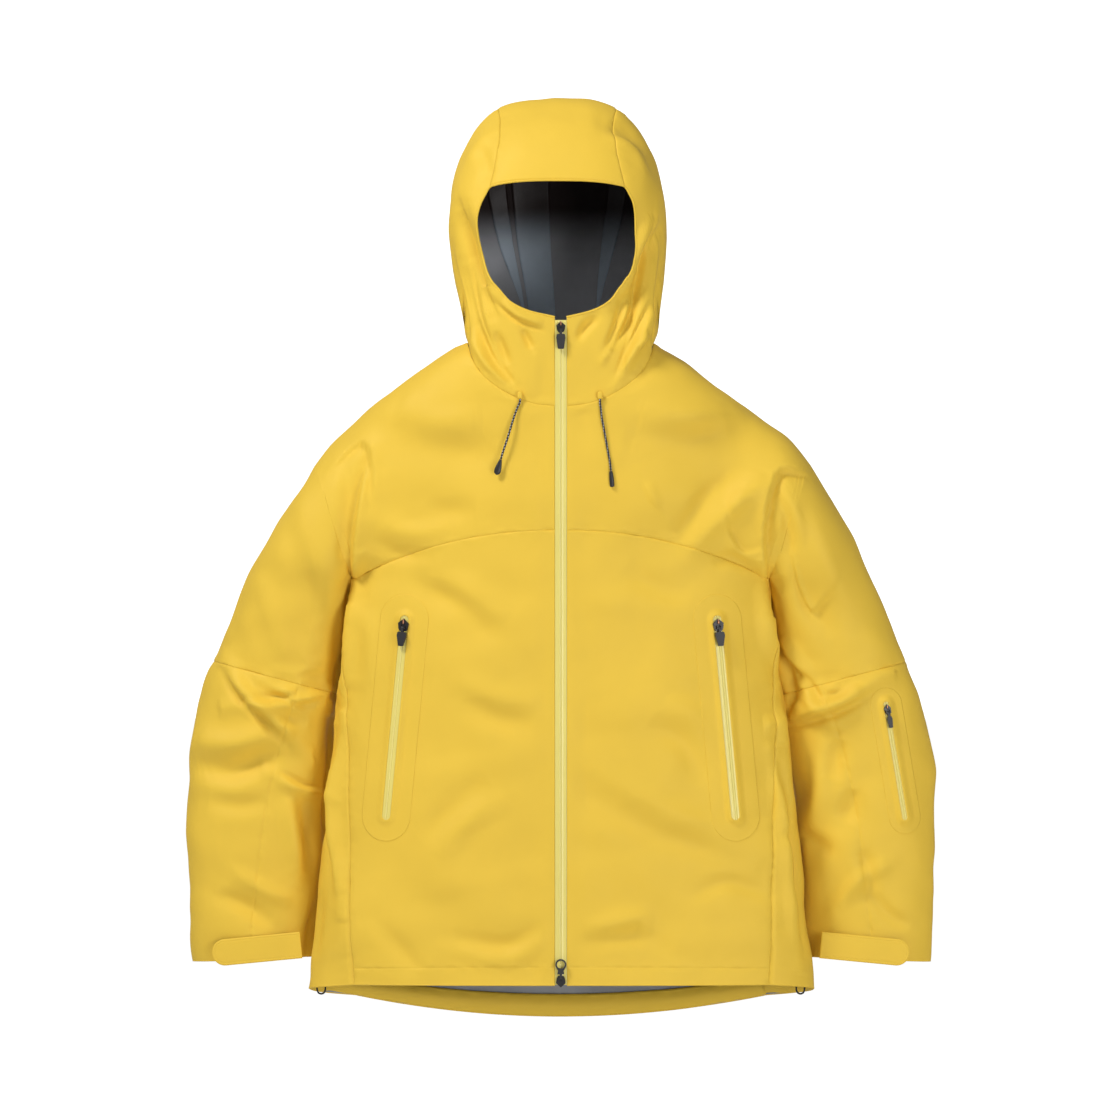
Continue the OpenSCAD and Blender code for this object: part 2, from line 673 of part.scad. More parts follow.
// A cord lock: a barrel with a cross hole for the cord, and a button that springs out of its top
lock_place = hem_route_point(lock_angle) + [-9, 0, 8];
lock_d = 12;
button_d = 8;
module hem_lock() {
    color(hardware_colour)
    translate(lock_place)
    difference() {
        union() {
            cylinder(d = lock_d, h = 15, center = true, $fn = 40);
            translate([0, 0, -7.5]) sphere(d = lock_d, $fn = 40);
        }
        translate([0, 0, -1]) cylinder(d = button_d + 0.6, h = 20, $fn = 40);
        translate([0, 0, -4]) rotate([90, 0, 0]) cylinder(d = 4.4, h = 20, center = true, $fn = 28);
    }
}
module hem_button() {
    color(hardware_colour)
    translate(lock_place + [0, 0, 4.4]) {
        cylinder(d = button_d, h = 8, $fn = 40);
        translate([0, 0, 8]) cylinder(d = button_d + 1.6, h = 2, $fn = 40);
    }
}

// The slack of the elastic cord, in a short loop below the lock
loop_d = 2.2;
loop_route = [[-5, 0, -15], [-5, 0, -18], [-5, 0, -21], [-4.5, 0, -24], [-3, 0, -26.5],
    [0, 0, -27.5], [3, 0, -26.5], [4.5, 0, -24], [5, 0, -21], [5, 0, -18], [5, 0, -15]];
module hem_loop() {
    color(hardware_colour) rope([for (p = loop_route) lock_place + p], loop_d);
}

// ---- hanger loop, sewn inside the back neck ----

module hanger_loop() {
    color(hardware_colour)
    translate([0, -4.4, -1])
    rotate([90, 0, 0])
    linear_extrude(1.6, center = true)
    difference() {
        square([64, 14], center = true);
        translate([0, 1]) square([52, 8], center = true);
    }
}

front_panel();  // front_panel_left
mirror([1, 0, 0]) front_panel();  // front_panel_right
front_yoke();  // front_yoke_left
mirror([1, 0, 0]) front_yoke();  // front_yoke_right
side_panel();  // side_panel_left
mirror([1, 0, 0]) side_panel();  // side_panel_right
back_panel();
back_yoke();
sleeve_cap();  // sleeve_cap_left
mirror([1, 0, 0]) sleeve_cap();  // sleeve_cap_right
hood_side();  // hood_side_left
mirror([1, 0, 0]) hood_side();  // hood_side_right
hood_centre_panel();
hood_brim();
storm_flap();
front_zip_tape();  // front_zip_tape_left
mirror([1, 0, 0]) front_zip_tape();  // front_zip_tape_right
front_zip_coil();
front_zip_stops();
front_slider_top();
front_pull_top();
front_slider_bottom();
front_pull_bottom();
pocket_zip();  // pocket_zip_left
mirror([1, 0, 0]) pocket_zip();  // pocket_zip_right
pocket_slider();  // pocket_slider_left
mirror([1, 0, 0]) pocket_slider();  // pocket_slider_right
pocket_pull();  // pocket_pull_left
mirror([1, 0, 0]) pocket_pull();  // pocket_pull_right
pocket_bag();  // pocket_bag_left
mirror([1, 0, 0]) pocket_bag();  // pocket_bag_right
upper_sleeve();  // upper_sleeve_left
mirror([1, 0, 0]) upper_sleeve();  // upper_sleeve_right
forearm_outer();  // forearm_outer_left
mirror([1, 0, 0]) forearm_outer();  // forearm_outer_right
forearm_inner();  // forearm_inner_left
mirror([1, 0, 0]) forearm_inner();  // forearm_inner_right
cuff_tab();  // cuff_tab_left
mirror([1, 0, 0]) cuff_tab();  // cuff_tab_right
cuff_loop_patch();  // cuff_loop_patch_left
mirror([1, 0, 0]) cuff_loop_patch();  // cuff_loop_patch_right
cuff_hook_patch();  // cuff_hook_patch_left
mirror([1, 0, 0]) cuff_hook_patch();  // cuff_hook_patch_right
sleeve_zip();
sleeve_slider();
sleeve_pull();
sleeve_pocket_bag();
hood_cord(left_cord_route);  // hood_cord_left
hood_cord(right_cord_route);  // hood_cord_right
hood_cord_end(left_cord_route, 5.6);  // hood_cord_end_left
hood_cord_end(right_cord_route, 8.6);  // hood_cord_end_right
hood_cord_eyelets();
hem_cord();
hem_lock();  // hem_lock_left
mirror([1, 0, 0]) hem_lock();  // hem_lock_right
hem_button();  // hem_button_left
mirror([1, 0, 0]) hem_button();  // hem_button_right
hem_loop();  // hem_loop_left
mirror([1, 0, 0]) hem_loop();  // hem_loop_right
hanger_loop();
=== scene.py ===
"""A hooded hardshell jacket, closed: the looks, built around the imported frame.

Shapes are worked out in millimetres in the CAD frame and turned into metres when a mesh is made.
"""

import math

import bpy
import numpy as np
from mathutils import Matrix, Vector


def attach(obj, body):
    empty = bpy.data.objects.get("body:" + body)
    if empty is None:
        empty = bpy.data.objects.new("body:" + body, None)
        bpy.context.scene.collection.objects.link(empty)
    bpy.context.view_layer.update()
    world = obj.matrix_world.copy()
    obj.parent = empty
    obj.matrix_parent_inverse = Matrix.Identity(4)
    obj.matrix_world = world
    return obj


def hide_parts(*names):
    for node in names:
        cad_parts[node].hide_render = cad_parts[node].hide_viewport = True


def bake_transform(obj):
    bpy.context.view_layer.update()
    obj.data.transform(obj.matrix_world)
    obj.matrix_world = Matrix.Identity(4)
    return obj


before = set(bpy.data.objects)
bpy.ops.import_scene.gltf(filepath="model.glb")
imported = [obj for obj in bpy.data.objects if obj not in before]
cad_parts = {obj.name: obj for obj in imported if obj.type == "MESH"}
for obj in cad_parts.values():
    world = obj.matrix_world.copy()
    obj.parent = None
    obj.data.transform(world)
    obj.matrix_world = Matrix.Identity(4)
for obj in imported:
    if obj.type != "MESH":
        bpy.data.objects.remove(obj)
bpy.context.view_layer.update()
MM = 0.001
SIDES = {"left": 1, "right": -1}

# ---------------------------------------------------------------- camera

VIEW_WIDTH = 1.344  # metres across the picture at the jacket's front
VIEW_CENTRE = (-0.001, -0.14, -0.238)
VIEW_DISTANCE = 20.0

camera = bpy.data.objects.new("camera", bpy.data.cameras.new("camera"))
bpy.context.scene.collection.objects.link(camera)
camera.location = (VIEW_CENTRE[0], VIEW_CENTRE[1] - VIEW_DISTANCE, VIEW_CENTRE[2])
camera.rotation_euler = (math.pi / 2, 0, 0)
camera.data.angle = 2 * math.atan(VIEW_WIDTH / 2 / VIEW_DISTANCE)
bpy.context.scene.camera = camera

# ---------------------------------------------------------------- small helpers


def mix(a, b, t):
    return a + (b - a) * t


def smooth(t):
    t = np.clip(t, 0, 1)
    return t * t * (3 - 2 * t)


def curve(pairs):
    """A smooth function through (key, value, ...) rows that never overshoots them."""
    rows = np.array(sorted(pairs), float)
    keys, values = rows[:, 0], rows[:, 1:]
    steps = np.diff(keys)[:, None]
    slopes = np.diff(values, axis=0) / steps
    tangents = np.vstack([slopes[:1], (slopes[:-1] + slopes[1:]) / 2, slopes[-1:]])
    same = slopes[:-1] * slopes[1:] > 0
    limit = 2.5 * np.minimum(abs(slopes[:-1]), abs(slopes[1:]))
    tangents[1:-1] = np.where(same, np.clip(tangents[1:-1], -limit, limit), 0)

    def at(key):
        key = np.clip(np.asarray(key, float), keys[0], keys[-1])
        k = np.clip(np.searchsorted(keys, key, side="right") - 1, 0, len(keys) - 2)
        h = (keys[k + 1] - keys[k])[..., None]
        t = (key[..., None] - keys[k][..., None]) / h
        found = (
            values[k] * (2 * t**3 - 3 * t**2 + 1)
            + tangents[k] * h * (t**3 - 2 * t**2 + t)
            + values[k + 1] * (3 * t**2 - 2 * t**3)
            + tangents[k + 1] * h * (t**3 - t**2)
        )
        return found[..., 0] if found.shape[-1] == 1 else found

    return at


def path(points):
    """A smooth curve through points, as a function of the share of its length."""
    points = np.array(points, float)
    lengths = np.concatenate([[0], np.cumsum(np.linalg.norm(np.diff(points, axis=0), axis=1))])
    return curve([(s, *p) for s, p in zip(lengths / lengths[-1], points)])


FINE = (0.9, 2.2)  # extra grid lines this far from a seam, so that its groove is sharp


def spaced(count, length, seams=()):
    """Shares of a length, evenly spaced but with fine steps at both ends and at seams between."""
    places = [0.0, length, *seams]
    lines = [s for s in np.linspace(0, length, count + 1) if min(abs(s - p) for p in places) > 3.2]
    for place in places:
        lines += [place] + [place + side * f for f in FINE for side in (-1, 1)]
    return np.array([s / length for s in sorted(lines) if 0 <= s <= length])


def unit(v):
    return v / np.linalg.norm(v)

# ---------------------------------------------------------------- materials


def link(tree, a, b):
    tree.links.new(a, b)


def textured(name, colour, rough, shade=0.05, weave=0.0, depth=0.0, grain=0.0, metallic=0.0, coat=0.0,
             sheen=0.0, shine=0.5, fleck=None, painted_shade=None):
    """A procedural finish: clouded colour, a weave of that period, fine grain, uneven roughness, and painted
    shade that darkens it above given heights.
    """
    material = bpy.data.materials.new(name)
    material.use_nodes = True
    tree = material.node_tree
    shader = tree.nodes["Principled BSDF"]
    place = tree.nodes.new("ShaderNodeTexCoord").outputs["Object"]

    def noise_of(scale, detail):
        texture = tree.nodes.new("ShaderNodeTexNoise")
        texture.inputs["Scale"].default_value = scale
        texture.inputs["Detail"].default_value = detail
        link(tree, place, texture.inputs["Vector"])
        return texture.outputs["Fac"]

    def bands_of(period, direction):
        texture = tree.nodes.new("ShaderNodeTexWave")
        texture.bands_direction = direction
        texture.inputs["Scale"].default_value = 0.314 / period
        link(tree, place, texture.inputs["Vector"])
        return texture.outputs["Fac"]

    def join(kind, a, b):
        maths = tree.nodes.new("ShaderNodeMath")
        maths.operation = kind
        link(tree, a, maths.inputs[0])
        if isinstance(b, float):
            maths.inputs[1].default_value = b
        else:
            link(tree, b, maths.inputs[1])
        return maths.outputs[0]

    ramp = tree.nodes.new("ShaderNodeValToRGB")
    ramp.color_ramp.elements[0].position = 0.3
    ramp.color_ramp.elements[1].position = 0.7
    ramp.color_ramp.elements[0].color = (*[c * (1 - shade) for c in colour], 1)
    ramp.color_ramp.elements[1].color = (*[min(1, c * (1 + shade)) for c in colour], 1)
    link(tree, noise_of(11, 4), ramp.inputs["Fac"])
    shown = ramp.outputs["Color"]
    if fleck:
        spots = join("MULTIPLY", bands_of(fleck[0], "Z"), bands_of(fleck[0] * 0.7, "X"))
        cut = join("GREATER_THAN", spots, 0.45)
        blend = tree.nodes.new("ShaderNodeMix")
        blend.data_type = "RGBA"
        link(tree, cut, blend.inputs[0])
        link(tree, shown, blend.inputs[6])
        blend.inputs[7].default_value = (*fleck[1], 1)
        shown = blend.outputs[2]
    # Painted shade: between two heights the colour fades to near black, standing in for shadow.
    if painted_shade:
        height_of = tree.nodes.new("ShaderNodeSeparateXYZ")
        link(tree, place, height_of.inputs[0])
        shade_mask = tree.nodes.new("ShaderNodeMapRange")
        shade_mask.interpolation_type = "SMOOTHSTEP"
        shade_mask.inputs["From Min"].default_value, shade_mask.inputs["From Max"].default_value = painted_shade
        shade_mask.inputs["To Min"].default_value, shade_mask.inputs["To Max"].default_value = 0, 1
        link(tree, height_of.outputs[2], shade_mask.inputs["Value"])
        shade_paint = tree.nodes.new("ShaderNodeMix")
        shade_paint.data_type = "RGBA"
        link(tree, shade_mask.outputs["Result"], shade_paint.inputs[0])
        link(tree, shown, shade_paint.inputs[6])
        shade_paint.inputs[7].default_value = (0.012, 0.006, 0.005, 1)
        shown = shade_paint.outputs[2]
    link(tree, shown, shader.inputs["Base Color"])
    uneven = tree.nodes.new("ShaderNodeMapRange")
    uneven.inputs["To Min"].default_value = rough - 0.06
    uneven.inputs["To Max"].default_value = rough + 0.06
    link(tree, noise_of(60, 3), uneven.inputs["Value"])
    link(tree, uneven.outputs["Result"], shader.inputs["Roughness"])
    shader.inputs["Metallic"].default_value = metallic
    shader.inputs["Specular IOR Level"].default_value = shine
    shader.inputs["Coat Weight"].default_value = coat
    shader.inputs["Coat Roughness"].default_value = 0.2
    shader.inputs["Sheen Weight"].default_value = sheen
    height = noise_of(grain or 800, 2)
    if weave:
        height = join("ADD", height, join("MAXIMUM", bands_of(weave, "X"), bands_of(weave, "Z")))
    bump = tree.nodes.new("ShaderNodeBump")
    bump.inputs["Strength"].default_value = 0.6
    bump.inputs["Distance"].default_value = depth or 0.00004
    link(tree, height, bump.inputs["Height"])
    link(tree, bump.outputs["Normal"], shader.inputs["Normal"])
    return material


HOOD_PAINTED_SHADE = (0.11, 0.19)  # heights in metres between which the hood's inside is painted dark, as painted shade from the brim
MATERIALS = {
    "shell_fabric": textured("shell_fabric", (0.8, 0.53, 0.055), 0.62, 0.025, 0.0009, 0.00005, 500,
                             shine=0.25),
    "shell_lining": textured("shell_lining", (0.33, 0.34, 0.36), 0.75, 0.12, 0.0014, 0.00008, 700),
    # The hood's lining is a lighter copy of the shell's lining, as painted light inside the hood; it and the
    # hood's tape are painted dark towards the top, as painted shade from the brim.
    "hood_lining": textured("hood_lining", (0.52, 0.53, 0.56), 0.75, 0.15, 0.0014, 0.00008, 700,
                            shine=0.2, painted_shade=HOOD_PAINTED_SHADE),
    "hood_tape": textured("hood_tape", (0.6, 0.7, 0.8), 0.45, 0.12, 0, 0.0002, 220, shine=0.2, painted_shade=HOOD_PAINTED_SHADE),
    "pocket_mesh": textured("pocket_mesh", (0.22, 0.23, 0.24), 0.85, 0.1, 0.0022, 0.0002, 600),
    "zip_tape": textured("zip_tape", (0.78, 0.66, 0.17), 0.38, 0.03, 0.0011, 0.00006, 500, coat=0.25),
    "zip_plastic": textured("zip_plastic", (0.72, 0.6, 0.16), 0.4, 0.03, 0, 0.00003, 900),
    "slider_black": textured("slider_black", (0.016, 0.015, 0.015), 0.42, 0.2, 0, 0.00005, 1400, coat=0.1),
    "slider_copper": textured("slider_copper", (0.55, 0.26, 0.15), 0.35, 0.1, 0, 0.00002, 1200, metallic=0.9),
    "pull_black": textured("pull_black", (0.024, 0.023, 0.025), 0.5, 0.15, 0, 0.00008, 1600),
    "cord_black": textured("cord_black", (0.014, 0.013, 0.016), 0.8, 0.2, 0, 0.0001, 1500,
                           fleck=(0.0034, (0.42, 0.42, 0.44))),
    "elastic_black": textured("elastic_black", (0.016, 0.016, 0.017), 0.8, 0.2, 0.0012, 0.0001, 900),
    "cord_end_black": textured("cord_end_black", (0.016, 0.015, 0.016), 0.45, 0.15, 0, 0.00005, 1200),
    "lock_black": textured("lock_black", (0.015, 0.015, 0.016), 0.4, 0.15, 0, 0.00005, 1300),
    "hook_tape": textured("hook_tape", (0.05, 0.045, 0.03), 0.9, 0.25, 0.001, 0.0003, 1000),
    "webbing_black": textured("webbing_black", (0.02, 0.02, 0.022), 0.8, 0.15, 0.0016, 0.0002, 900),
}

# ---------------------------------------------------------------- making meshes


def new_mesh(name, points, faces, finish, ride_on="root", thick=0.0, replaces=(), blend=None):
    """A piece from points in millimetres. Its thickness is added behind its faces."""
    mesh = bpy.data.meshes.new(name)
    mesh.from_pydata((np.asarray(points) * MM).tolist(), [], [list(map(int, f)) for f in faces])
    mesh.validate()
    mesh.shade_smooth()
    obj = bpy.data.objects.new(name, mesh)
    bpy.context.scene.collection.objects.link(obj)
    mesh.materials.append(MATERIALS[finish])
    if thick:
        solid = obj.modifiers.new("thickness", "SOLIDIFY")
        solid.thickness = thick * MM
        solid.offset = -1
    if blend:
        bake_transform(obj)
    else:
        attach(obj, ride_on)
    if replaces:
        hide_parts(*replaces)
    return obj


def weld_grids(grids):
    """One list of points and faces from several grids, with shared edges joined."""
    every = np.concatenate([p.reshape(-1, 3) for p, _ in grids])
    _, first, where = np.unique(np.round(every / 0.01).astype(np.int64), axis=0, return_index=True,
                                return_inverse=True)
    where = where.reshape(-1)
    faces = []
    start = 0
    for p, flip in grids:
        g = where[start:start + p.shape[0] * p.shape[1]].reshape(p.shape[:2])
        start += g.size
        q = np.stack([g[:-1, :-1], g[1:, :-1], g[1:, 1:], g[:-1, 1:]], -1).reshape(-1, 4)
        faces.append(q[:, ::-1] if flip else q)
    faces = np.concatenate(faces)
    ordered = np.sort(faces, axis=1)
    whole = (ordered[:, 1:] != ordered[:, :-1]).all(1)
    rest = [list(dict.fromkeys(f)) for f in faces[~whole].tolist()]
    return every[first], faces[whole].tolist() + [f for f in rest if len(f) == 3]


def grid_piece(name, grid, finish, out, thick=0.8, **more):
    """A piece from one grid, with its faces turned towards out."""
    across = np.cross(grid[1:, :-1] - grid[:-1, :-1], grid[:-1, 1:] - grid[:-1, :-1])
    points, faces = weld_grids([(grid, (across * np.array(out)).sum() < 0)])
    return new_mesh(name, points, faces, finish, thick=thick, **more)


CLOTH, LINING_INSET, LINING = 0.5, 1.1, 0.3  # thickness of the shell, place and thickness of its lining


def cloth_piece(name, surface, parts, replaces, ride_on="root", blend=None, lining="shell_lining"):
    points, faces = weld_grids([(surface.grid(p), surface.flip[p]) for p in parts])
    new_mesh(name, points, faces, "shell_fabric", ride_on, CLOTH, replaces, blend)
    inner = [(surface.under(p, LINING_INSET), not surface.flip[p]) for p in parts]
    points, faces = weld_grids(inner)
    new_mesh(name + "_lining", points, faces, lining, ride_on, LINING, (), blend)


def tube(line, radius, sides=8, closed=False, twist=None):
    """Points and faces of a round tube along a line. radius is a number, or one for each point."""
    line = np.asarray(line, float)
    count = len(line)
    ahead = np.roll(line, -1, 0) - np.roll(line, 1, 0)
    if not closed:
        ahead[0], ahead[-1] = line[1] - line[0], line[-1] - line[-2]
    ahead /= np.linalg.norm(ahead, axis=1, keepdims=True)
    aside = np.cross(ahead, np.array([0.31, 0.95, 0.07]))
    aside /= np.linalg.norm(aside, axis=1, keepdims=True)
    over = np.cross(ahead, aside)
    turn = np.linspace(0, 2 * np.pi, sides, endpoint=False)
    size = np.broadcast_to(np.asarray(radius, float).reshape(-1, 1), (count, sides)).copy()
    if twist:
        run = np.concatenate([[0], np.cumsum(np.linalg.norm(np.diff(line, axis=0), axis=1))])
        size *= 1 + 0.09 * np.sin(3 * turn[None, :] + 2 * np.pi * run[:, None] / twist)
    rings = (line[:, None] + size[..., None] * (np.cos(turn)[None, :, None] * aside[:, None]
                                                + np.sin(turn)[None, :, None] * over[:, None]))
    faces = []
    for i in range(count if closed else count - 1):
        a, b = i * sides, (i + 1) % count * sides
        faces += [(a + k, a + (k + 1) % sides, b + (k + 1) % sides, b + k) for k in range(sides)]
    if not closed:
        faces += [tuple(range(sides))[::-1], tuple((count - 1) * sides + k for k in range(sides))]
    return rings.reshape(-1, 3), faces


def bead(name, line, radius, finish, ride_on="root", closed=False, sides=8, replaces=(), twist=None):
    points, faces = tube(line, radius, sides, closed, twist)
    return new_mesh(name, points, faces, finish, ride_on, 0, replaces)


def pebble(name, centre, halves, power, finish, ride_on="root", replaces=()):
    """A rounded block."""
    around_it, up = np.meshgrid(np.linspace(0, 2 * np.pi, 33)[:-1], np.linspace(-1.5, 1.5, 19), indexing="ij")
    d = np.stack([np.cos(around_it) * np.cos(up), np.sin(around_it) * np.cos(up), np.sin(up)], -1)
    d /= (abs(d) ** power).sum(-1, keepdims=True) ** (1 / power)
    grid = np.array(centre) + d * np.array(halves)
    grid = np.concatenate([grid, grid[:1]])
    points, faces = weld_grids([(grid, False)])
    index = {tuple(np.round(p / 0.01).astype(int)): i for i, p in enumerate(points)}
    ends = [[index[tuple(np.round(p / 0.01).astype(int))] for p in grid[:-1, k]] for k in (0, -1)]
    return new_mesh(name, points, faces + [ends[0][::-1], ends[1]], finish, ride_on, 0, replaces)


# ---------------------------------------------------------------- cords

CORD_Y = -141.5
LEFT_CORD = [(47, -42), (47, -48), (48, -57), (49, -66), (51, -77), (53, -88), (55, -99), (57, -110),
             (59, -121), (60, -131)]
RIGHT_CORD = [(-49, -42), (-49, -47), (-52, -55), (-55, -63), (-58, -72), (-61, -82), (-64, -92), (-67, -101),
              (-70, -110), (-72, -117)]
LEFT_END = ((0, 1.5), (1.5, 2.1), (5, 2.5), (11, 2.8), (16.5, 2.8), (18.6, 2.4), (19.3, 1.2))
RIGHT_END = ((0, 1.5), (2, 1.9), (6, 2.9), (10, 3.8), (14, 4.2), (17, 3.5), (18.7, 1.9), (19.3, 0.6))
for side, route, profile in (("left", LEFT_CORD, LEFT_END), ("right", RIGHT_CORD, RIGHT_END)):
    line = path([(x, CORD_Y, z) for x, z in route])(np.linspace(0, 1, 120))
    cord = bead(f"hood_cord_line_{side}", line, 1.25, "cord_black", sides=12, replaces=[f"hood_cord_{side}"],
                twist=2.6)
    heading = unit(line[-1] - line[-8])
    shape = curve(profile)
    steps = np.linspace(0, profile[-1][0], 40)
    points, faces = tube(line[-1] + heading * (steps[:, None] + 0.2), shape(steps), 16)
    points[:, 1] = CORD_Y + (points[:, 1] - CORD_Y) * 1.8 / max(r for _, r in profile)
    tip = new_mesh(f"hood_cord_tip_{side}", points, faces, "cord_end_black",
                   replaces=[f"hood_cord_end_{side}"])
    pebble(f"cord_eyelet_{side}", (route[0][0], CORD_Y, route[0][1] + 1.8), (3.2, 2.0, 4.6), 3,
           "shell_fabric", replaces=["hood_cord_eyelets"])

LOCK_PLACE = (288.6, -63.8, -733)  # the hem's cord lock on the left
LOOP = [(-5, -15), (-5, -18), (-5, -21), (-4.5, -24), (-3, -26.5), (0, -27.5), (3, -26.5), (4.5, -24),
        (5, -21), (5, -18), (5, -15)]
for side, sign in SIDES.items():
    line = path([np.array(LOCK_PLACE) + np.array([x, 0, z]) for x, z in LOOP])(np.linspace(0, 1, 60))
    line = line * np.array([sign, 1, 1])
    loop = bead(f"hem_slack_{side}", line, 1.1, "elastic_black", sides=10, replaces=[f"hem_loop_{side}"])

# ---------------------------------------------------------------- the pattern

ROUND = 2.2  # squareness of the cross-sections, as in the CAD model
FRONT_Y = -140.0
SIDE_SEAM_X = 246.0
ZIP_EDGE_X = 7.2
FRONT_HEM_Z = -748.0
BACK_HEM_Z = -790.0
ARMPIT = (252.0, -262.0)
NECK_SIDE = (112.0, 24.0)

width_at = curve([(-790, 308), (-748, 307), (-646, 296), (-526, 283), (-406, 269), (-262, 252), (-150, 251),
                  (-71, 248), (-46, 216), (-22, 182), (2, 148), (24, 112)])
back_at = curve([(-790, 50), (-262, 50), (-150, 47), (-70, 35), (0, 5), (24, 0)])


def bulge(q):
    return np.maximum(0, 1 - np.minimum(1, abs(q)) ** ROUND) ** (1 / ROUND)


def middle(z):
    return (back_at(z) + FRONT_Y) / 2


def half_depth(z):
    return (back_at(z) - FRONT_Y) / 2


def torso_half(x, z):
    return half_depth(z) * bulge(x / width_at(z))


def yoke_seam(x):
    return -202 - 60 * (abs(x) / ARMPIT[0]) ** 2.2


def back_yoke_seam(x):
    return -170 - 92 * (abs(x) / ARMPIT[0]) ** 2.2


def back_hem(x):
    return BACK_HEM_Z + 42 * (abs(x) / 307) ** 2


front_neck = path([(7.2, -53), (30, -50.5), (55, -42), (78, -29), (97, -12), (108, 6), NECK_SIDE])
back_neck = path([(0, 0), (30, 1), (60, 4.5), (88, 12), (104, 19), NECK_SIDE])
shoulder = path([NECK_SIDE, (148, 2), (182, -22), (216, -46), (248, -71), (275, -95), (298, -125)])

# Lines across the sleeve: share of its length, inner x and z, outer x and z, half-depth, centre y
RUNGS = [(0.00, *ARMPIT, 298, -125, 62, -45), (0.10, 251, -279, 345, -202, 60, -40),
         (0.21, 253, -320, 371, -254, 58, -24), (0.32, 258, -363, 396, -308, 58, -12),
         (0.43, 265, -401, 417, -361, 57, -6), (0.53, 269, -450, 438, -420, 56, -5),
         (0.63, 274, -500, 450, -482, 54, -5), (0.74, 281, -560, 453, -550, 51, -5),
         (0.84, 286, -620, 451, -620, 48, -5), (0.94, 291, -680, 449, -684, 45, -5),
         (1.00, 294, -716, 446, -722, 43, -5)]
rung_at = curve(RUNGS)
tuck_at = curve([(0, 0), (0.1, 16), (0.25, 22), (0.43, 14), (0.7, 6), (1, 0)])  # behind the body
ELBOW = 0.43

COLUMNS = 80  # columns of the front from the zip to the side seam
ROWS = 150
SIDE_COLUMNS = 14
LEVELS = 72  # divisions of the yoke and the sleeve from one edge to the other
HALF_FRONT = 240  # nominal millimetres from the zip to the side seam, used to space the columns
YOKE_TO_HEM = 520  # nominal millimetres from the yoke seam to the hem, used to space the rows
HEM_STITCH = 20.0  # the hem's stitching is this far above its edge
SIDE_DIP = 6.0  # the hem drops this much from the side seams to the fold between them
SLEEVE_Y = -45.0  # the middle of the sleeve where it leaves the body
FAR = 1e3  # a distance to a seam that leaves no mark
FOREARM_SEAM = 0.43  # share of the grid's width that follows the forearm's seam
seam_x_at = curve([(-800, 248), (-745, 250), (-556, 255), (-394, 257), (-300, 249), (-262, 246)])


class Surface:
    """Grids of points that share their edges, welded so that they bend as one cloth."""

    def __init__(self):
        self.parts = {}

    def add(self, name, points, seam, out):
        """seam is each point's distance to the nearest seam; out points out of the cloth."""
        self.parts[name] = (np.asarray(points, float), np.broadcast_to(seam, points.shape[:2]), out)

    def weld(self):
        every = np.concatenate([p.reshape(-1, 3) for p, _, _ in self.parts.values()])
        seams = np.concatenate([s.reshape(-1) for _, s, _ in self.parts.values()])
        _, first, where = np.unique(np.round(every / 0.02).astype(np.int64), axis=0, return_index=True,
                                    return_inverse=True)
        where = where.reshape(-1)
        self.points = every[first]
        self.seam = np.full(len(first), FAR)
        np.minimum.at(self.seam, where, seams)
        self.index = {}
        self.flip = {}
        start = 0
        for name, (p, _, out) in self.parts.items():
            size = p.shape[0] * p.shape[1]
            self.index[name] = where[start:start + size].reshape(p.shape[:2])
            start += size
            across = np.cross(p[1:, :-1] - p[:-1, :-1], p[:-1, 1:] - p[:-1, :-1])
            out = np.broadcast_to(out, p.shape)[:-1, :-1]
            self.flip[name] = (across * out).sum() < 0
        self.find_normals()

    def relieve(self, relief):
        """Moves every point along its normal by what relief says, in millimetres."""
        self.flat_points, self.flat_normals = self.points, self.normals
        rise = relief(self.points, self.normals, self.seam)
        self.points = self.points + self.normals * rise[:, None]
        self.find_normals()
        self.floor = rise
        corners = np.concatenate([self.quads(name) for name in self.index])
        for _ in range(3):
            lowest = self.floor[corners].min(1)
            self.floor = self.floor.copy()
            for k in range(4):
                np.minimum.at(self.floor, corners[:, k], lowest)

    def under(self, name, inset):
        """The grid of a lining that lies below every fold of the cloth."""
        g = self.index[name]
        return self.flat_points[g] + self.flat_normals[g] * (self.floor[g] - inset)[..., None]

    def quads(self, name):
        g = self.index[name]
        q = np.stack([g[:-1, :-1], g[1:, :-1], g[1:, 1:], g[:-1, 1:]], -1).reshape(-1, 4)
        return q[:, ::-1] if self.flip[name] else q

    def find_normals(self):
        total = np.zeros_like(self.points)
        for name in self.index:
            q = self.quads(name)
            corners = self.points[q]
            n = np.cross(corners[:, 2] - corners[:, 0], corners[:, 3] - corners[:, 1])
            for k in range(4):
                np.add.at(total, q[:, k], n)
        self.normals = total / np.maximum(np.linalg.norm(total, axis=1, keepdims=True), 1e-9)

    def grid(self, name, inset=0.0):
        g = self.index[name]
        return self.points[g] - self.normals[g] * inset


# ---------------------------------------------------------------- folds

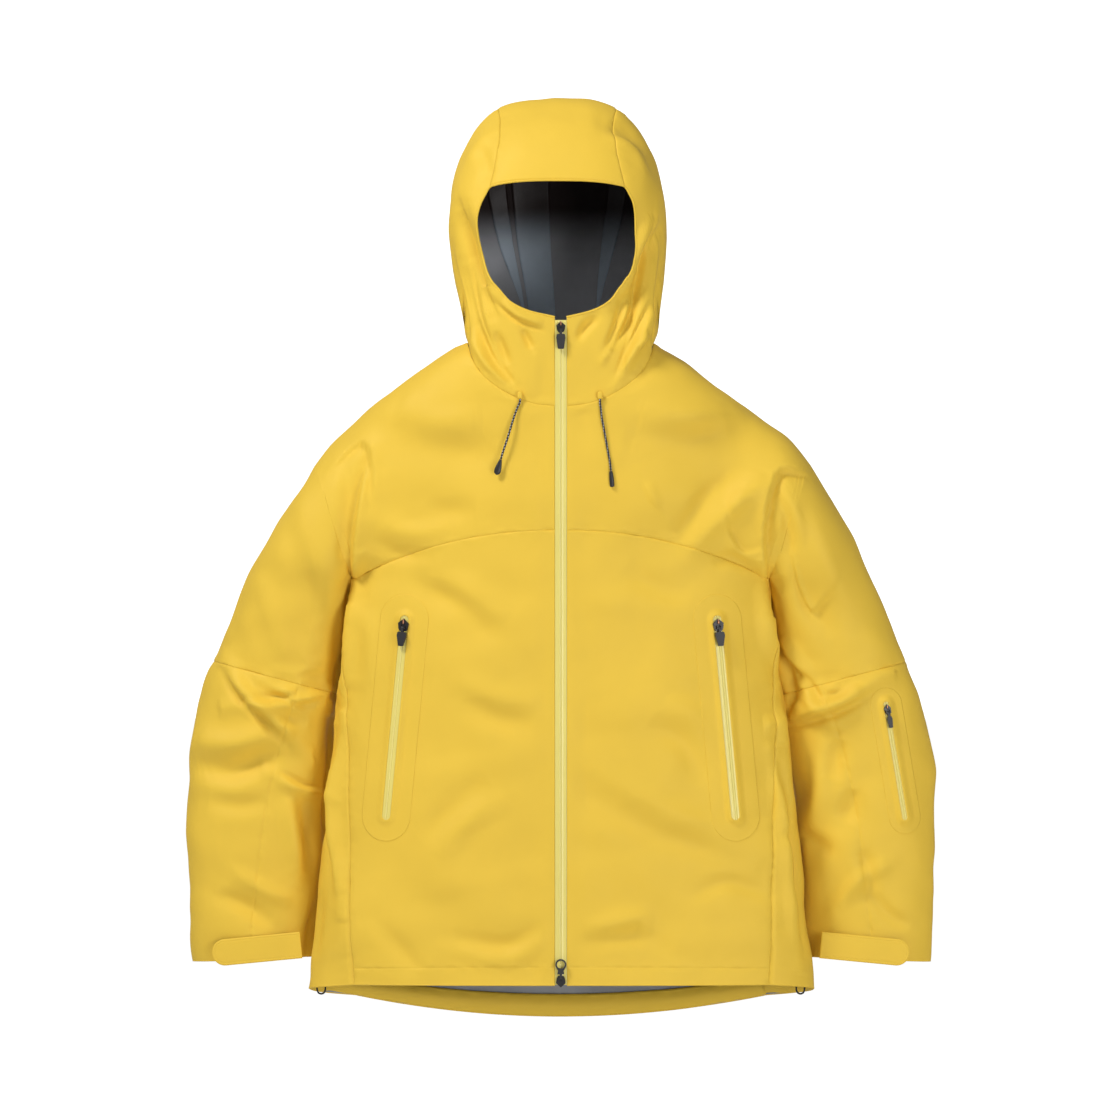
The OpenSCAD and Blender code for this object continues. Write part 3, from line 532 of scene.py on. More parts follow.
# Each fold: its kind, height and width, and the line it follows over the front, in x and z. A lip is a
# crease with a raised edge to the left of its direction of travel; a lipr has it to the right. A step and
# a stepr are cloth that lies over cloth, with the upper layer on that side.
BODY_FOLDS = [
    ("step", 4, 9, [(-233, -122), (-239, -140), (-245, -175), (-251, -224), (-252, -262)]),
    ("step", 2.2, 6, [(-227, -172), (-227, -150), (-229, -112), (-241, -98), (-278, -126)][::-1]),
    ("soft", -1.8, 9, [(-262, -120), (-258, -160), (-262, -215), (-264, -250)]),
    ("lip", 5, 8, [(-252, -250), (-257, -300), (-263, -358), (-277, -402)]),
    ("soft", -2.5, 16, [(-199, -272), (-133, -286), (-97, -316), (-73, -336)]),
    ("soft", 2.2, 16, [(-165, -255), (-110, -275), (-60, -310)]),
    ("soft", -2.2, 14, [(-160, -165), (-140, -178), (-100, -178)]),
    ("soft", -2, 14, [(-120, -405), (-75, -430), (-30, -440)]),
    ("soft", 2, 14, [(-121, -385), (-70, -405), (-20, -410)]),
    ("soft", -2.5, 16, [(-85, -500), (-120, -525), (-170, -575)]),
    ("soft", 2, 14, [(-60, -520), (-120, -560), (-150, -600)]),
    ("soft", -2, 12, [(-223, -670), (-193, -705), (-170, -735)]),
    ("soft", 2.2, 12, [(-133, -705), (-67, -718), (-13, -690)]),
    ("soft", -2, 10, [(-140, -690), (-70, -700), (-15, -672)]),
    ("lip", 5, 7, [(-272, -440), (-284, -544), (-272, -650)]),
    ("soft", -2.5, 7, [(-289, -645), (-299, -690), (-303, -720)]),
    ("soft", -2, 8, [(-268, -300), (-272, -420), (-278, -500)]),
    ("soft", -3, 24, [(-190, -84), (-130, -106), (-70, -112)]),
    ("soft", 2.5, 24, [(-200, -58), (-140, -74), (-90, -72)]),
    ("lip", 6, 10, [(-408, -372), (-388, -403), (-358, -432), (-328, -462)]),
    ("lipr", 5, 9, [(-385, -406), (-352, -404), (-312, -400)]),
    ("lip", 4, 8, [(-345, -400), (-315, -412), (-285, -404)]),
    ("soft", -5, 14, [(-446, -485), (-403, -494), (-361, -480), (-330, -474)]),
    ("soft", 4, 14, [(-440, -455), (-400, -460), (-350, -448)]),
    ("soft", -3, 12, [(-427, -526), (-391, -534), (-350, -528)]),
    ("lipr", 4, 8, [(-337, -493), (-310, -508), (-290, -512)]),
    ("soft", 3.5, 10, [(-330, -520), (-322, -570), (-317, -625)]),
    ("soft", -3.5, 8, [(-312, -520), (-306, -570), (-303, -620)]),
    ("soft", -3, 10, [(-420, -640), (-380, -655), (-345, -680)]),
    ("soft", 2.5, 10, [(-400, -610), (-350, -640), (-320, -650)]),
    ("soft", -2.5, 16, [(-330, -190), (-310, -250), (-290, -320)]),
    ("soft", 2.5, 16, [(-365, -250), (-345, -310), (-330, -360)]),
    ("soft", -2, 12, [(-395, -330), (-400, -310), (-385, -270)]),
    ("stepr", 4, 9, [(300, -138), (268, -130), (255, -148), (248, -182), (246, -216), (250, -262)]),
    ("soft", 1.6, 7, [(268, -152), (285, -190), (290, -225)]),
    ("soft", -1.6, 6, [(262, -160), (272, -190), (276, -237)]),
    ("step", 2, 8, [(276, -237), (288, -278), (304, -302), (318, -285), (331, -262)]),
    ("stepr", 1.8, 6, [(196, -178), (207, -212), (222, -229), (245, -224)]),
    ("soft", 1.5, 8, [(222, -150), (205, -180), (200, -205)]),
    ("lipr", 5, 8, [(250, -258), (257, -326), (272, -358), (282, -406), (277, -436)]),
    ("soft", 2, 14, [(300, -178), (322, -245), (350, -300)]),
    ("soft", -3, 14, [(275, -230), (300, -290), (330, -335)]),
    ("lip", 4, 8, [(257, -334), (278, -362), (299, -391)]),
    ("lip", 7, 10, [(276, -439), (299, -433), (335, -421), (372, -400)]),
    ("lipr", 4, 8, [(293, -372), (308, -396), (323, -418)]),
    ("soft", 3, 8, [(272, -418), (310, -405), (340, -386)]),
    ("soft", -3, 6, [(300, -408), (330, -398), (352, -384)]),
    ("soft", -4, 12, [(335, -452), (330, -480), (327, -505)]),
    ("soft", -3.5, 12, [(355, -512), (348, -535), (342, -556)]),
    ("soft", 3, 12, [(318, -470), (310, -530), (300, -570)]),
    ("soft", -3, 10, [(287, -566), (312, -582), (330, -590)]),
    ("soft", -3, 9, [(362, -585), (371, -610), (374, -640)]),
    ("soft", 3, 10, [(400, -600), (360, -625), (330, -660)]),
    ("soft", -2.5, 9, [(372, -640), (400, -668), (425, -680)]),
    ("lip", 1.4, 7, [(95, -146), (104, -166), (114, -180)]),
    ("soft", 2.5, 16, [(200, -180), (225, -160), (240, -130)]),
    ("soft", -2.5, 16, [(77, -242), (113, -270), (161, -284)]),
    ("soft", -3, 16, [(105, -428), (149, -460), (180, -508)]),
    ("soft", 2.5, 16, [(125, -400), (180, -440), (200, -470)]),
    ("soft", -2.5, 16, [(17, -512), (89, -556), (179, -586), (239, -610)]),
    ("soft", 2, 14, [(40, -490), (110, -530), (190, -560)]),
    ("soft", -2, 10, [(180, -540), (215, -548), (250, -546)]),
    ("soft", 2.5, 12, [(23, -682), (95, -668), (107, -695)]),
    ("soft", -2, 12, [(30, -700), (90, -690), (140, -712)]),
    ("soft", -2, 10, [(160, -640), (200, -625), (250, -640)]),
    ("soft", -3, 8, [(262, -560), (281, -585), (283, -640)]),
    ("lipr", 4, 7, [(262, -480), (276, -560), (285, -650), (292, -715)]),
    ("soft", 2.5, 8, [(262, -420), (272, -480), (278, -540)]),
    ("soft", -3, 24, [(70, -96), (140, -98), (200, -80)]),
    ("soft", 2.5, 22, [(90, -66), (150, -66), (205, -54)]),
    ("soft", 2.6, 12, [(236, -152), (192, -186), (150, -236)]),
    ("soft", -2.4, 11, [(205, -135), (170, -168), (140, -215)]),
    ("soft", -2.4, 9, [(228, -250), (203, -236), (180, -243)]),
    ("soft", 2.2, 12, [(-222, -190), (-180, -205), (-130, -200)]),
    ("soft", -2, 10, [(-225, -215), (-190, -232), (-150, -228)]),
    ("soft", 2.5, 14, [(-250, -290), (-225, -330), (-222, -400)]),
]
HOOD_FOLDS = [
    ("soft", -4, 9, [(-122, 186), (-113, 158), (-103, 126), (-95, 86), (-85, 54)]),
    ("soft", 3.5, 9, [(-106, 196), (-94, 160), (-84, 120), (-78, 84)]),
    ("soft", -2.5, 8, [(-116, 120), (-102, 54), (-88, 8)]),
    ("soft", 2.5, 8, [(-106, 130), (-94, 70), (-78, 20)]),
    ("lip", 3, 7, [(-77, 70), (-53, 50), (-21, 38)]),
    ("soft", -3, 6, [(-100, 44), (-82, 4), (-55, -30)]),
    ("soft", -3, 6, [(-80, 38), (-70, 14), (-62, -6)]),
    ("soft", -2.5, 5, [(-46, 40), (-40, 26), (-34, 14)]),
    ("soft", 3, 7, [(-108, 30), (-90, -2), (-66, -30)]),
    ("soft", -5, 9, [(124, 168), (104, 126), (92, 86), (68, 62)]),
    ("soft", 4, 9, [(112, 178), (94, 130), (82, 92)]),
    ("soft", -4, 10, [(52, 288), (84, 274), (114, 236), (122, 200)]),
    ("soft", 3, 8, [(60, 272), (90, 256), (104, 226)]),
    ("lip", 4, 7, [(107, 70), (84, 24), (68, -12)]),
    ("soft", -4, 6, [(100, 90), (76, 40), (56, 12)]),
    ("soft", 3, 5, [(88, 74), (66, 30), (50, 0)]),
    ("soft", -3, 5, [(76, 70), (66, 40), (55, 14)]),
    ("soft", -3, 6, [(44, 54), (30, 42), (18, 26)]),
    ("lip", 3, 5, [(92, 10), (100, 20), (108, 30)]),
    ("soft", -3, 8, [(-100, 262), (-88, 230), (-95, 205)]),
    ("step", 1.5, 7, [(-122, 204), (-108, 144), (-89, 88), (-77, 62)]),
    ("stepr", 1.3, 6, [(-112, 124), (-102, 71), (-82, 16), (-63, -20)]),
    ("step", 1.4, 7, [(114, 200), (107, 126), (92, 62), (69, -11)]),
    ("soft", 3, 8, [(-118, 240), (-100, 262), (-85, 280)]),
]


FOLD_STRENGTH = 2.3


def press(points, normals, folds):
    """The height that the folds give each point, on what faces the front."""
    total = np.zeros(len(points))
    facing = smooth((-normals[:, 1] - 0.12) / 0.45)
    flat = points[:, [0, 2]]
    for kind, height, width, line in folds:
        route = path(line)(np.linspace(0, 1, 40))
        reach = width * (5 if "step" in kind else 3)
        low, high = route.min(0) - reach, route.max(0) + reach
        near = np.flatnonzero(((flat > low) & (flat < high)).all(1) & (facing > 0))
        gap = flat[near][:, None] - route[None]
        square = (gap**2).sum(-1)
        k = square.argmin(1)
        ahead = np.gradient(route, axis=0)
        ahead /= np.linalg.norm(ahead, axis=1, keepdims=True)
        gap = gap[np.arange(len(k)), k]
        aside = ahead[k, 0] * gap[:, 1] - ahead[k, 1] * gap[:, 0]
        ends = (k == 0) | (k == len(route) - 1)
        away = np.where(ends, np.sqrt(square.min(1)), abs(aside))
        taper = np.sin(np.pi * np.clip(k / (len(route) - 1), 0.03, 0.97)) ** 0.6
        if kind == "soft":
            rise = np.exp(-((away / width) ** 2))
        elif kind in ("step", "stepr"):
            lean = aside if kind == "step" else -aside
            beyond_end = np.exp(-((np.maximum(away - abs(aside), 0) / width) ** 2))
            upper = 0.6 * np.exp(-np.maximum(lean, 0) / (1.6 * width))
            lower = -1.2 * np.exp(np.minimum(lean, 0) / (1.3 * width))
            rise = mix(lower, upper, smooth((lean + 2.6) / 5.2)) * beyond_end
        else:
            lean = aside if kind == "lip" else -aside
            rise = np.exp(-(((lean - width) / width) ** 2)) - 0.6 * np.exp(-((away / (0.45 * width)) ** 2))
        total[near] += FOLD_STRENGTH * height * rise * taper
    return total * facing


def ripples(points, wave, seed, count=8):
    """Smooth unevenness of about that wavelength, between -1 and 1 for the most part."""
    rng = np.random.default_rng(seed)
    total = np.zeros(len(points))
    for _ in range(count):
        run, bend = rng.normal(size=(2, 3))
        k = 2 * np.pi / (wave * rng.uniform(0.75, 1.4))
        turn = 1.2 * np.sin(points @ bend / np.linalg.norm(bend) * k * 0.45 + rng.uniform(0, 6.3))
        total += np.sin(points @ run / np.linalg.norm(run) * k + turn + rng.uniform(0, 6.3))
    return total / math.sqrt(count)


def around(points, centre, size):
    return np.exp(-(((points - np.array(centre)) / np.array(size)) ** 2).sum(-1))


def neck_line(shares, back):
    """Points of the neck seam on the left, from the yoke's own top edge."""
    p = (back_neck if back else front_neck)(shares)
    face = 1 if back else -1
    return np.stack([p[:, 0], middle(p[:, 1]) + face * torso_half(p[:, 0], p[:, 1]), p[:, 1]], -1)


NECK_POINTS = np.concatenate([neck_line(np.linspace(0, 1, 70), back) for back in (False, True)])


def neck_distance(points):
    """Distance from the neck seam, for points near it."""
    distance = np.full(len(points), FAR)
    near = np.flatnonzero((abs(points[:, 0]) < 150) & (abs(points[:, 2]) < 110))
    mirrored = abs(points[near]) * [1, 0, 0] + points[near] * [0, 1, 1]
    for start in range(0, len(near), 4000):
        gap = mirrored[start:start + 4000, None] - NECK_POINTS[None]
        distance[near[start:start + 4000]] = np.sqrt((gap**2).sum(-1).min(1))
    return distance


POCKET_ENDS = ((187, -304), (210, -551))
SLEEVE_ZIP_ENDS = ((391, -408), (415, -552))


def line_distance(points, ends):
    """Distance over the front from the straight line between two points on the left."""
    a, b = np.array(ends[0], float), np.array(ends[1], float)
    flat = np.stack([points[:, 0], points[:, 2]], -1)
    t = np.clip((flat - a) @ (b - a) / ((b - a) @ (b - a)), 0, 1)
    return np.linalg.norm(flat - a - t[:, None] * (b - a), axis=1)


def seam_marks(points, seam):
    """A groove along each seam, and the small puckers beside it."""
    return -0.75 * np.exp(-((seam / 1.3) ** 2)) + 0.42 * np.exp(-seam / 7) * ripples(points, 11, 4)


def body_relief(points, normals, seam):
    """How far each point of the body and sleeves moves along its normal."""
    front = smooth(-normals[:, 1] / 0.3)
    rise = 2.2 * ripples(points, 170, 1) + 1.25 * ripples(points, 70, 2) + 0.16 * ripples(points, 26, 3)
    rise += press(points, normals, BODY_FOLDS)
    for sign, z in ((1, -405), (-1, -400)):
        elbow = around(points, (sign * 318, -40, z), (62, 70, 42))
        rise += elbow * 3.2 * (0.55 - abs(ripples(points * [0.6, 1, 1.3], 40, 8 + sign)))
        armpit = around(points, (sign * 262, -20, -250), (30, 80, 60))
        rise += armpit * 2.0 * (0.55 - abs(ripples(points * [1.3, 1, 0.6], 36, 12 + sign)))
        back_fold = around(points, (sign * 200, 60, -300), (90, 60, 160))
        rise += back_fold * 2.6 * ripples(points * [1.4, 1, 0.7], 80, 15 + sign)
        cuff = around(points, (sign * 366, -50, -706), (70, 25, 20))
        rise -= np.maximum(rise, 0) * np.minimum(cuff * 1.6, 1)
    near_zip = np.where((abs(points[:, 0]) < 60) & (front > 0.3), smooth((abs(points[:, 0]) - 7) / 26), 1)
    for sign in (1, -1):
        toward = points * [sign, 1, 1]
        calm = smooth((line_distance(toward, POCKET_ENDS) - 14) / 40)
        near_zip = np.where(front > 0.3, np.minimum(near_zip, 0.25 + 0.75 * calm), near_zip)
    calm = smooth((line_distance(points, SLEEVE_ZIP_ENDS) - 10) / 26)
    on_sleeve = (front > 0.3) & (points[:, 0] > 330)
    near_zip = np.where(on_sleeve, np.minimum(near_zip, 0.2 + 0.8 * calm), near_zip)
    rise *= near_zip
    distance = neck_distance(points)
    rise *= smooth(distance / 16)
    return rise + seam_marks(points, np.minimum(seam, distance)) * smooth((abs(points[:, 0]) - 7) / 3)


def hood_relief(points, normals, seam):
    """How far each point of the hood moves along its normal."""
    rise = 1.2 * ripples(points, 110, 21) + 0.45 * ripples(points, 46, 22) + 0.1 * ripples(points, 20, 23)
    rise += press(points, normals, HOOD_FOLDS)
    brim = around(points, (0, -140, 225), (90, 60, 42))
    rise *= 1 - 0.85 * np.minimum(brim * 1.3, 1)
    inside = around(points, (0, 70, 110), (120, 60, 100))
    rise += inside * 1.6 * (0.5 - abs(ripples(points * [0.8, 1, 1.2], 48, 25)))
    rise *= np.where((abs(points[:, 0]) < 60) & (normals[:, 1] < -0.3) & (points[:, 2] < 80),
                     smooth((abs(points[:, 0]) - 7) / 22), 1)
    distance = neck_distance(points)
    rise *= smooth(distance / 14)
    return rise + seam_marks(points, np.minimum(seam, distance)) * smooth((abs(points[:, 0]) - 7) / 3)


# ---------------------------------------------------------------- body and sleeves


def make_body(surface, sign, side):
    """Adds the front, side and half of the back below the yoke, on one side."""
    rows = spaced(ROWS, YOKE_TO_HEM, (YOKE_TO_HEM - HEM_STITCH,))[:, None]

    def sheet_of(x_top, face, hem_z, top_z):
        """x_top runs across; the sheet keeps each point's place between zip, seam and fold."""
        z = mix(top_z[None, :], hem_z[None, :], rows)
        wide = width_at(z)
        seam_x = seam_x_at(z)
        start = ZIP_EDGE_X if face < 0 else 0.0
        inner = mix(start, seam_x, (np.minimum(x_top, SIDE_SEAM_X)[None, :] - start) / (SIDE_SEAM_X - start))
        beyond = np.maximum(x_top - SIDE_SEAM_X, 0)[None, :] / (ARMPIT[0] - SIDE_SEAM_X)
        seam_angle = np.arccos(np.clip(seam_x / wide, 0, 1) ** (ROUND / 2))
        side_angle = seam_angle * (1 - beyond)
        x = np.where(beyond > 0, wide * np.cos(side_angle) ** (2 / ROUND), inner)
        deep = np.where(beyond > 0, half_depth(z) * np.sin(side_angle) ** (2 / ROUND), torso_half(inner, z))
        return np.stack([sign * x, middle(z) + face * deep, z], -1)

    shares = spaced(COLUMNS, HALF_FRONT)
    beyond = np.linspace(0, 1, SIDE_COLUMNS + 1)
    side_x = SIDE_SEAM_X + (ARMPIT[0] - SIDE_SEAM_X) * beyond
    front_x = mix(ZIP_EDGE_X, SIDE_SEAM_X, shares)
    back_x = SIDE_SEAM_X * shares
    row_seam = rows * YOKE_TO_HEM
    for name, x, face in (("front", front_x, -1), ("side_front", side_x, -1), ("back", back_x, 1),
                          ("side_back", side_x, 1)):
        if face < 0:
            hem_z = np.full(len(x), FRONT_HEM_Z) - (SIDE_DIP * beyond if name == "side_front" else 0)
            top_z = yoke_seam(x)
        else:
            hem_z = back_hem(x)
            if name == "side_back":
                hem_z = mix(back_hem(SIDE_SEAM_X), FRONT_HEM_Z - SIDE_DIP, beyond)
            top_z = back_yoke_seam(x)
        across = abs(x - SIDE_SEAM_X)[None, :] * (1 if "side" not in name else 8)
        seam = np.minimum(row_seam, across)
        if name in ("front", "back"):
            seam = np.minimum(seam, abs(row_seam - (YOKE_TO_HEM - HEM_STITCH)) + 0.6)
        surface.add(f"{name}_{side}", sheet_of(x, face, hem_z, top_z), seam, (0, face, 0))


def make_upper(surface, sign, side):
    """Adds the yoke, the upper sleeve and the forearm, each with a front and a back sheet."""
    shares = spaced(COLUMNS, HALF_FRONT)
    up = (1 - np.cos(np.pi * np.linspace(0, 1, LEVELS + 1))) / 2
    near = [FOREARM_SEAM + d for d in (-0.015, -0.006, 0, 0.006, 0.015)]
    up = [v for v in up if v > 0.014 and abs(v - FOREARM_SEAM) > 0.022]
    up = np.array(sorted([0.0, 0.004, 0.011] + near + up))
    neck_share = 0.41

    def centre_of(x, z):
        return mix(middle(z), SLEEVE_Y, smooth((x - 200) / 52))

    for face, name in ((-1, "front"), (1, "back")):
        panel, flank = (surface.parts[f"{key}_{side}"][0] for key in (name, f"side_{name}"))
        sewn_to = np.concatenate([panel[0], flank[0, 1:]])
        share = np.concatenate([shares, mix(1, 1.03, np.linspace(0, 1, SIDE_COLUMNS + 1)[1:])]) / 1.03
        bottom_x, bottom_z = abs(sewn_to[:, 0]), sewn_to[:, 2]
        neck = front_neck if face < 0 else back_neck
        on_neck = share < neck_share
        top = np.where(on_neck[:, None], neck(share / neck_share),
                       shoulder((share - neck_share) / (1 - neck_share)))
        low = np.stack([bottom_x, bottom_z], -1)
        flat = mix(low[:, None, :], top[:, None, :], up[None, :, None])
        x, z = flat[..., 0], flat[..., 1]
        level = up[None, :] + 0 * x
        body_u = torso_half(x, z) ** ROUND
        low_u = (abs(sewn_to[:, 1] - middle(bottom_z)) ** ROUND)[:, None]
        top_u = np.where(on_neck, 0, torso_half(top[:, 0], top[:, 1]) ** ROUND)[:, None]
        own = mix(40, 62, smooth((bottom_x - 160) / 92))[:, None]
        ridge = 1 - abs(2 * level - 1) ** ROUND
        rung_u = (1 - level) * low_u + ridge * own**ROUND
        to_sleeve = smooth((bottom_x - 140) / 65)[:, None]
        deep = np.maximum(mix(body_u - top_u * level**3, rung_u, to_sleeve), 0) ** (1 / ROUND)
        points = np.stack([sign * x, centre_of(x, z) + face * deep, z], -1)
        points[:, 0] = sewn_to
        rise = np.linalg.norm(top - low, axis=1)[:, None]
        seam = np.where(bottom_x[:, None] < SIDE_SEAM_X + 0.5, level * rise, FAR)
        surface.add(f"yoke_{name}_{side}", points, seam, (0, face, 0))
        for part, start, end, count in (("upper", 0.0, ELBOW, 50), ("forearm", ELBOW, 1.0, 100)):
            t = mix(start, end, spaced(count, 150 if part == "upper" else 330))
            g = rung_at(t)
            elbow_seam, cuff_seam = 0.335, 0.54
            target = np.where(t < ELBOW, mix(FOREARM_SEAM, elbow_seam, smooth(t / ELBOW)),
                              mix(elbow_seam, cuff_seam, (t - ELBOW) / (1 - ELBOW)))[:, None]
            below = up[None, :] <= FOREARM_SEAM
            v = np.where(below, up[None, :] / FOREARM_SEAM * target,
                         target + (up[None, :] - FOREARM_SEAM) / (1 - FOREARM_SEAM) * (1 - target))
            inner, outer = g[:, 0:2], g[:, 2:4]
            flat = mix(inner[:, None, :], outer[:, None, :], v[..., None])
            deep = g[:, 4][:, None] * np.maximum(1 - abs(2 * v - 1) ** ROUND, 0) ** (1 / ROUND)
            tuck = tuck_at(t)[:, None] * np.maximum(1 - v / 0.35, 0) ** 2
            points = np.stack([sign * flat[..., 0], g[:, 5][:, None] + tuck + face * deep, flat[..., 1]], -1)
            seam = np.abs(t - ELBOW)[:, None] * 480 + 0 * v
            if part == "forearm":
                seam = np.minimum(seam, abs(v - target) * 150)
            surface.add(f"{part}_{name}_{side}", points, seam, (0, face, 0))


body = Surface()
for side, sign in SIDES.items():
    make_body(body, sign, side)
    make_upper(body, sign, side)
body.weld()
body.relieve(body_relief)

# ---------------------------------------------------------------- hood

HOOD_Y, HOOD_Z = -45.0, 150.0
HOOD_HALF, HOOD_ROUND = 131.0, 2.8
CHIN = HOOD_Y - FRONT_Y
HOOD_LEAN = 4.5  # the hood lies over to the right a little
reach_at = curve([(-108, 157), (-103, 168), (-98, 184), (-85, 205)]
                 + [(a, CHIN / math.cos(math.radians(a))) for a in (-66, -64, -60, -52, -45)]
                 + [(-30, 111), (-10, 100), (10, 104), (33, 124), (50, 138), (70, 154), (90, 168),
                    (110, 158), (130, 140), (150, 122), (170, 110), (190, 107), (210, 112), (230, 128),
                    (245, 147), (253, 157)])
centre_half_at = curve([(28, 84), (62, 73), (95, 71), (135, 65), (180, 55), (232, 45), (254, 44)])
opening_half_at = curve([(-45.5, 7.2), (-43, 45), (-35, 76), (-18, 92), (8, 95), (24, 92), (32, 84)])
narrowing_at = curve([(0, 1), (26, 0.965), (50, 0.95), (74, 0.955), (98, 0.97), (150, 1), (200, 1),
                      (242, 0.97), (266, 0.955), (290, 0.96), (304, 0.99), (318, 1.02)])


def hood_share(x):
    """The share of the hood's reach that a point has at x from its middle plane."""
    return (1 - np.minimum(1, abs(x) / HOOD_HALF) ** HOOD_ROUND) ** (1 / HOOD_ROUND)


def hood_point(angle, share):
    """A point of the hood from its direction seen from the side and its share of the reach."""
    wrapped = np.where(angle < -108, angle + 360, angle)
    r = reach_at(wrapped) * share
    a = np.radians(wrapped)
    x = HOOD_HALF * np.maximum(0, 1 - share**HOOD_ROUND) ** (1 / HOOD_ROUND)
    z = HOOD_Z + r * np.sin(a)
    return np.stack([x * narrowing_at(z), HOOD_Y - r * np.cos(a), z], -1)


def disc(angle, share):
    a = np.radians(angle)
    return np.stack([share * np.cos(a), share * np.sin(a)], -1)


def from_disc(p):
    return hood_point(np.degrees(np.arctan2(p[..., 1], p[..., 0])), np.hypot(p[..., 0], p[..., 1]))


BACK_EDGE_SHARE = 0.36  # the hood's centre panel covers this much of the back neck
HOOD_COLUMNS, HOOD_ROWS = 190, 84
HOOD_SIDE_LENGTH, HOOD_SIDE_WIDTH = 560, 230  # nominal millimetres, used to space the lines
BRIM_ANGLE = 32.0
BACK_ANGLE = 232.0  # where the hood's side meets the back neck
high_angle_at = curve([(0, -45.5), (0.12, -42), (0.21, -34), (0.31, -16), (0.40, 8), (0.48, BRIM_ANGLE),
                       (0.62, 70), (0.75, 110), (0.88, 165), (1, BACK_ANGLE)])


def make_hood(surface, sign, side):
    """Adds one side of the hood, between its neck seam, zip, opening and centre panel."""
    u = spaced(HOOD_COLUMNS, HOOD_SIDE_LENGTH)
    v = spaced(HOOD_ROWS, HOOD_SIDE_WIDTH)
    front_part = 0.52
    along_back = (u[u >= front_part] - front_part) / (1 - front_part)
    neck = np.concatenate([neck_line(u[u < front_part] / front_part, False),
                           neck_line(mix(1, BACK_EDGE_SHARE, along_back), True)])
    angle = np.degrees(np.arctan2(neck[:, 2] - HOOD_Z, -(neck[:, 1] - HOOD_Y)))
    low = disc(angle, hood_share(neck[:, 0] / narrowing_at(neck[:, 2])))
    high_angle = high_angle_at(u)
    high_x = np.where(high_angle > BRIM_ANGLE, centre_half_at(high_angle), opening_half_at(high_angle))
    high = disc(high_angle, hood_share(high_x))
    zip_side = disc(mix(angle[0], high_angle[0], v), hood_share(ZIP_EDGE_X) + 0 * v)
    last = hood_share(centre_half_at(BACK_ANGLE))
    back_side = disc(mix(angle[-1] + 360, BACK_ANGLE, v), mix(np.linalg.norm(low[-1]), last, smooth(v * 3)))
    uu, vv = u[:, None, None], v[None, :, None]
    p = (mix(low[:, None], high[:, None], vv) + mix(zip_side[None], back_side[None], uu)
         - mix(mix(low[0], high[0], vv), mix(low[-1], high[-1], vv), uu))
    points = from_disc(p)
    error = neck - points[:, 0]
    points = points + error[:, None, :] * ((1 - v[None, :, None]) ** 3)
    points[0, :, 0] = ZIP_EDGE_X
    points[0, :, 1] = FRONT_Y
    seam_v = v * HOOD_SIDE_WIDTH
    past = high_angle > BRIM_ANGLE
    seam = np.minimum(seam_v[None, :] + 0 * u[:, None],
                      np.where(past[:, None], (1 - v[None, :]) * HOOD_SIDE_WIDTH, FAR))
    points = points * np.array([sign, 1, 1])
    surface.add(f"side_{side}", points, seam, points - np.array([0, HOOD_Y, HOOD_Z]))
    return u, points


hood = Surface()
hood_edges = {}
for side, sign in SIDES.items():
    hood_edges[side] = make_hood(hood, sign, side)

u, left_points = hood_edges["left"]
right_points = hood_edges["right"][1]
first = int(np.argmax(high_angle_at(u) >= BRIM_ANGLE))
strip_left = np.concatenate([left_points[first:, -1], left_points[-1, ::-1][1:]])
back_angles = np.linspace(BACK_ANGLE, 254, left_points.shape[1])
strip_angles = np.concatenate([high_angle_at(u[first:]), back_angles[1:]])
across = np.linspace(1, -1, 41)
across = np.array(sorted(set(list(across) + [-0.985, -0.965, 0.965, 0.985]), reverse=True))
strip_x = strip_left[:, 0][:, None] * across[None, :]
inner_share = hood_share(strip_x / narrowing_at(strip_left[:, 2])[:, None])
strip = hood_point(strip_angles[:, None] + 0 * strip_x, inner_share)
strip[..., 0] = strip_x
edge_error = strip_left[:, None, :] - strip[:, :1, :]
weight = abs(across[None, :, None]) ** 3
strip[..., 1:] += edge_error[..., 1:] * weight
neck_z = np.interp(abs(strip_x[-1]), *neck_line(np.linspace(0, 1, 60), True)[:, [0, 2]].T)
neck_y = np.interp(abs(strip_x[-1]), *neck_line(np.linspace(0, 1, 60), True)[:, [0, 1]].T)
fall = np.clip(1 - np.arange(len(strip))[::-1] / 40, 0, 1)[:, None] ** 2
strip[..., 2] += (neck_z - strip[-1, :, 2])[None, :] * fall
strip[..., 1] += (neck_y - strip[-1, :, 1])[None, :] * fall
hood.add("centre", strip, (1 - abs(across))[None, :] * 70 + 0 * strip_x,
         strip - np.array([0, HOOD_Y, HOOD_Z]))
hood.weld()
hood.points[:, 0] -= HOOD_LEAN * smooth((hood.points[:, 2] - 40) / 120)
hood.relieve(hood_relief)

# ---------------------------------------------------------------- shell pieces

EDGE_INSET = 0.9  # the folded edges of hem and cuffs are beads with their middle this far in

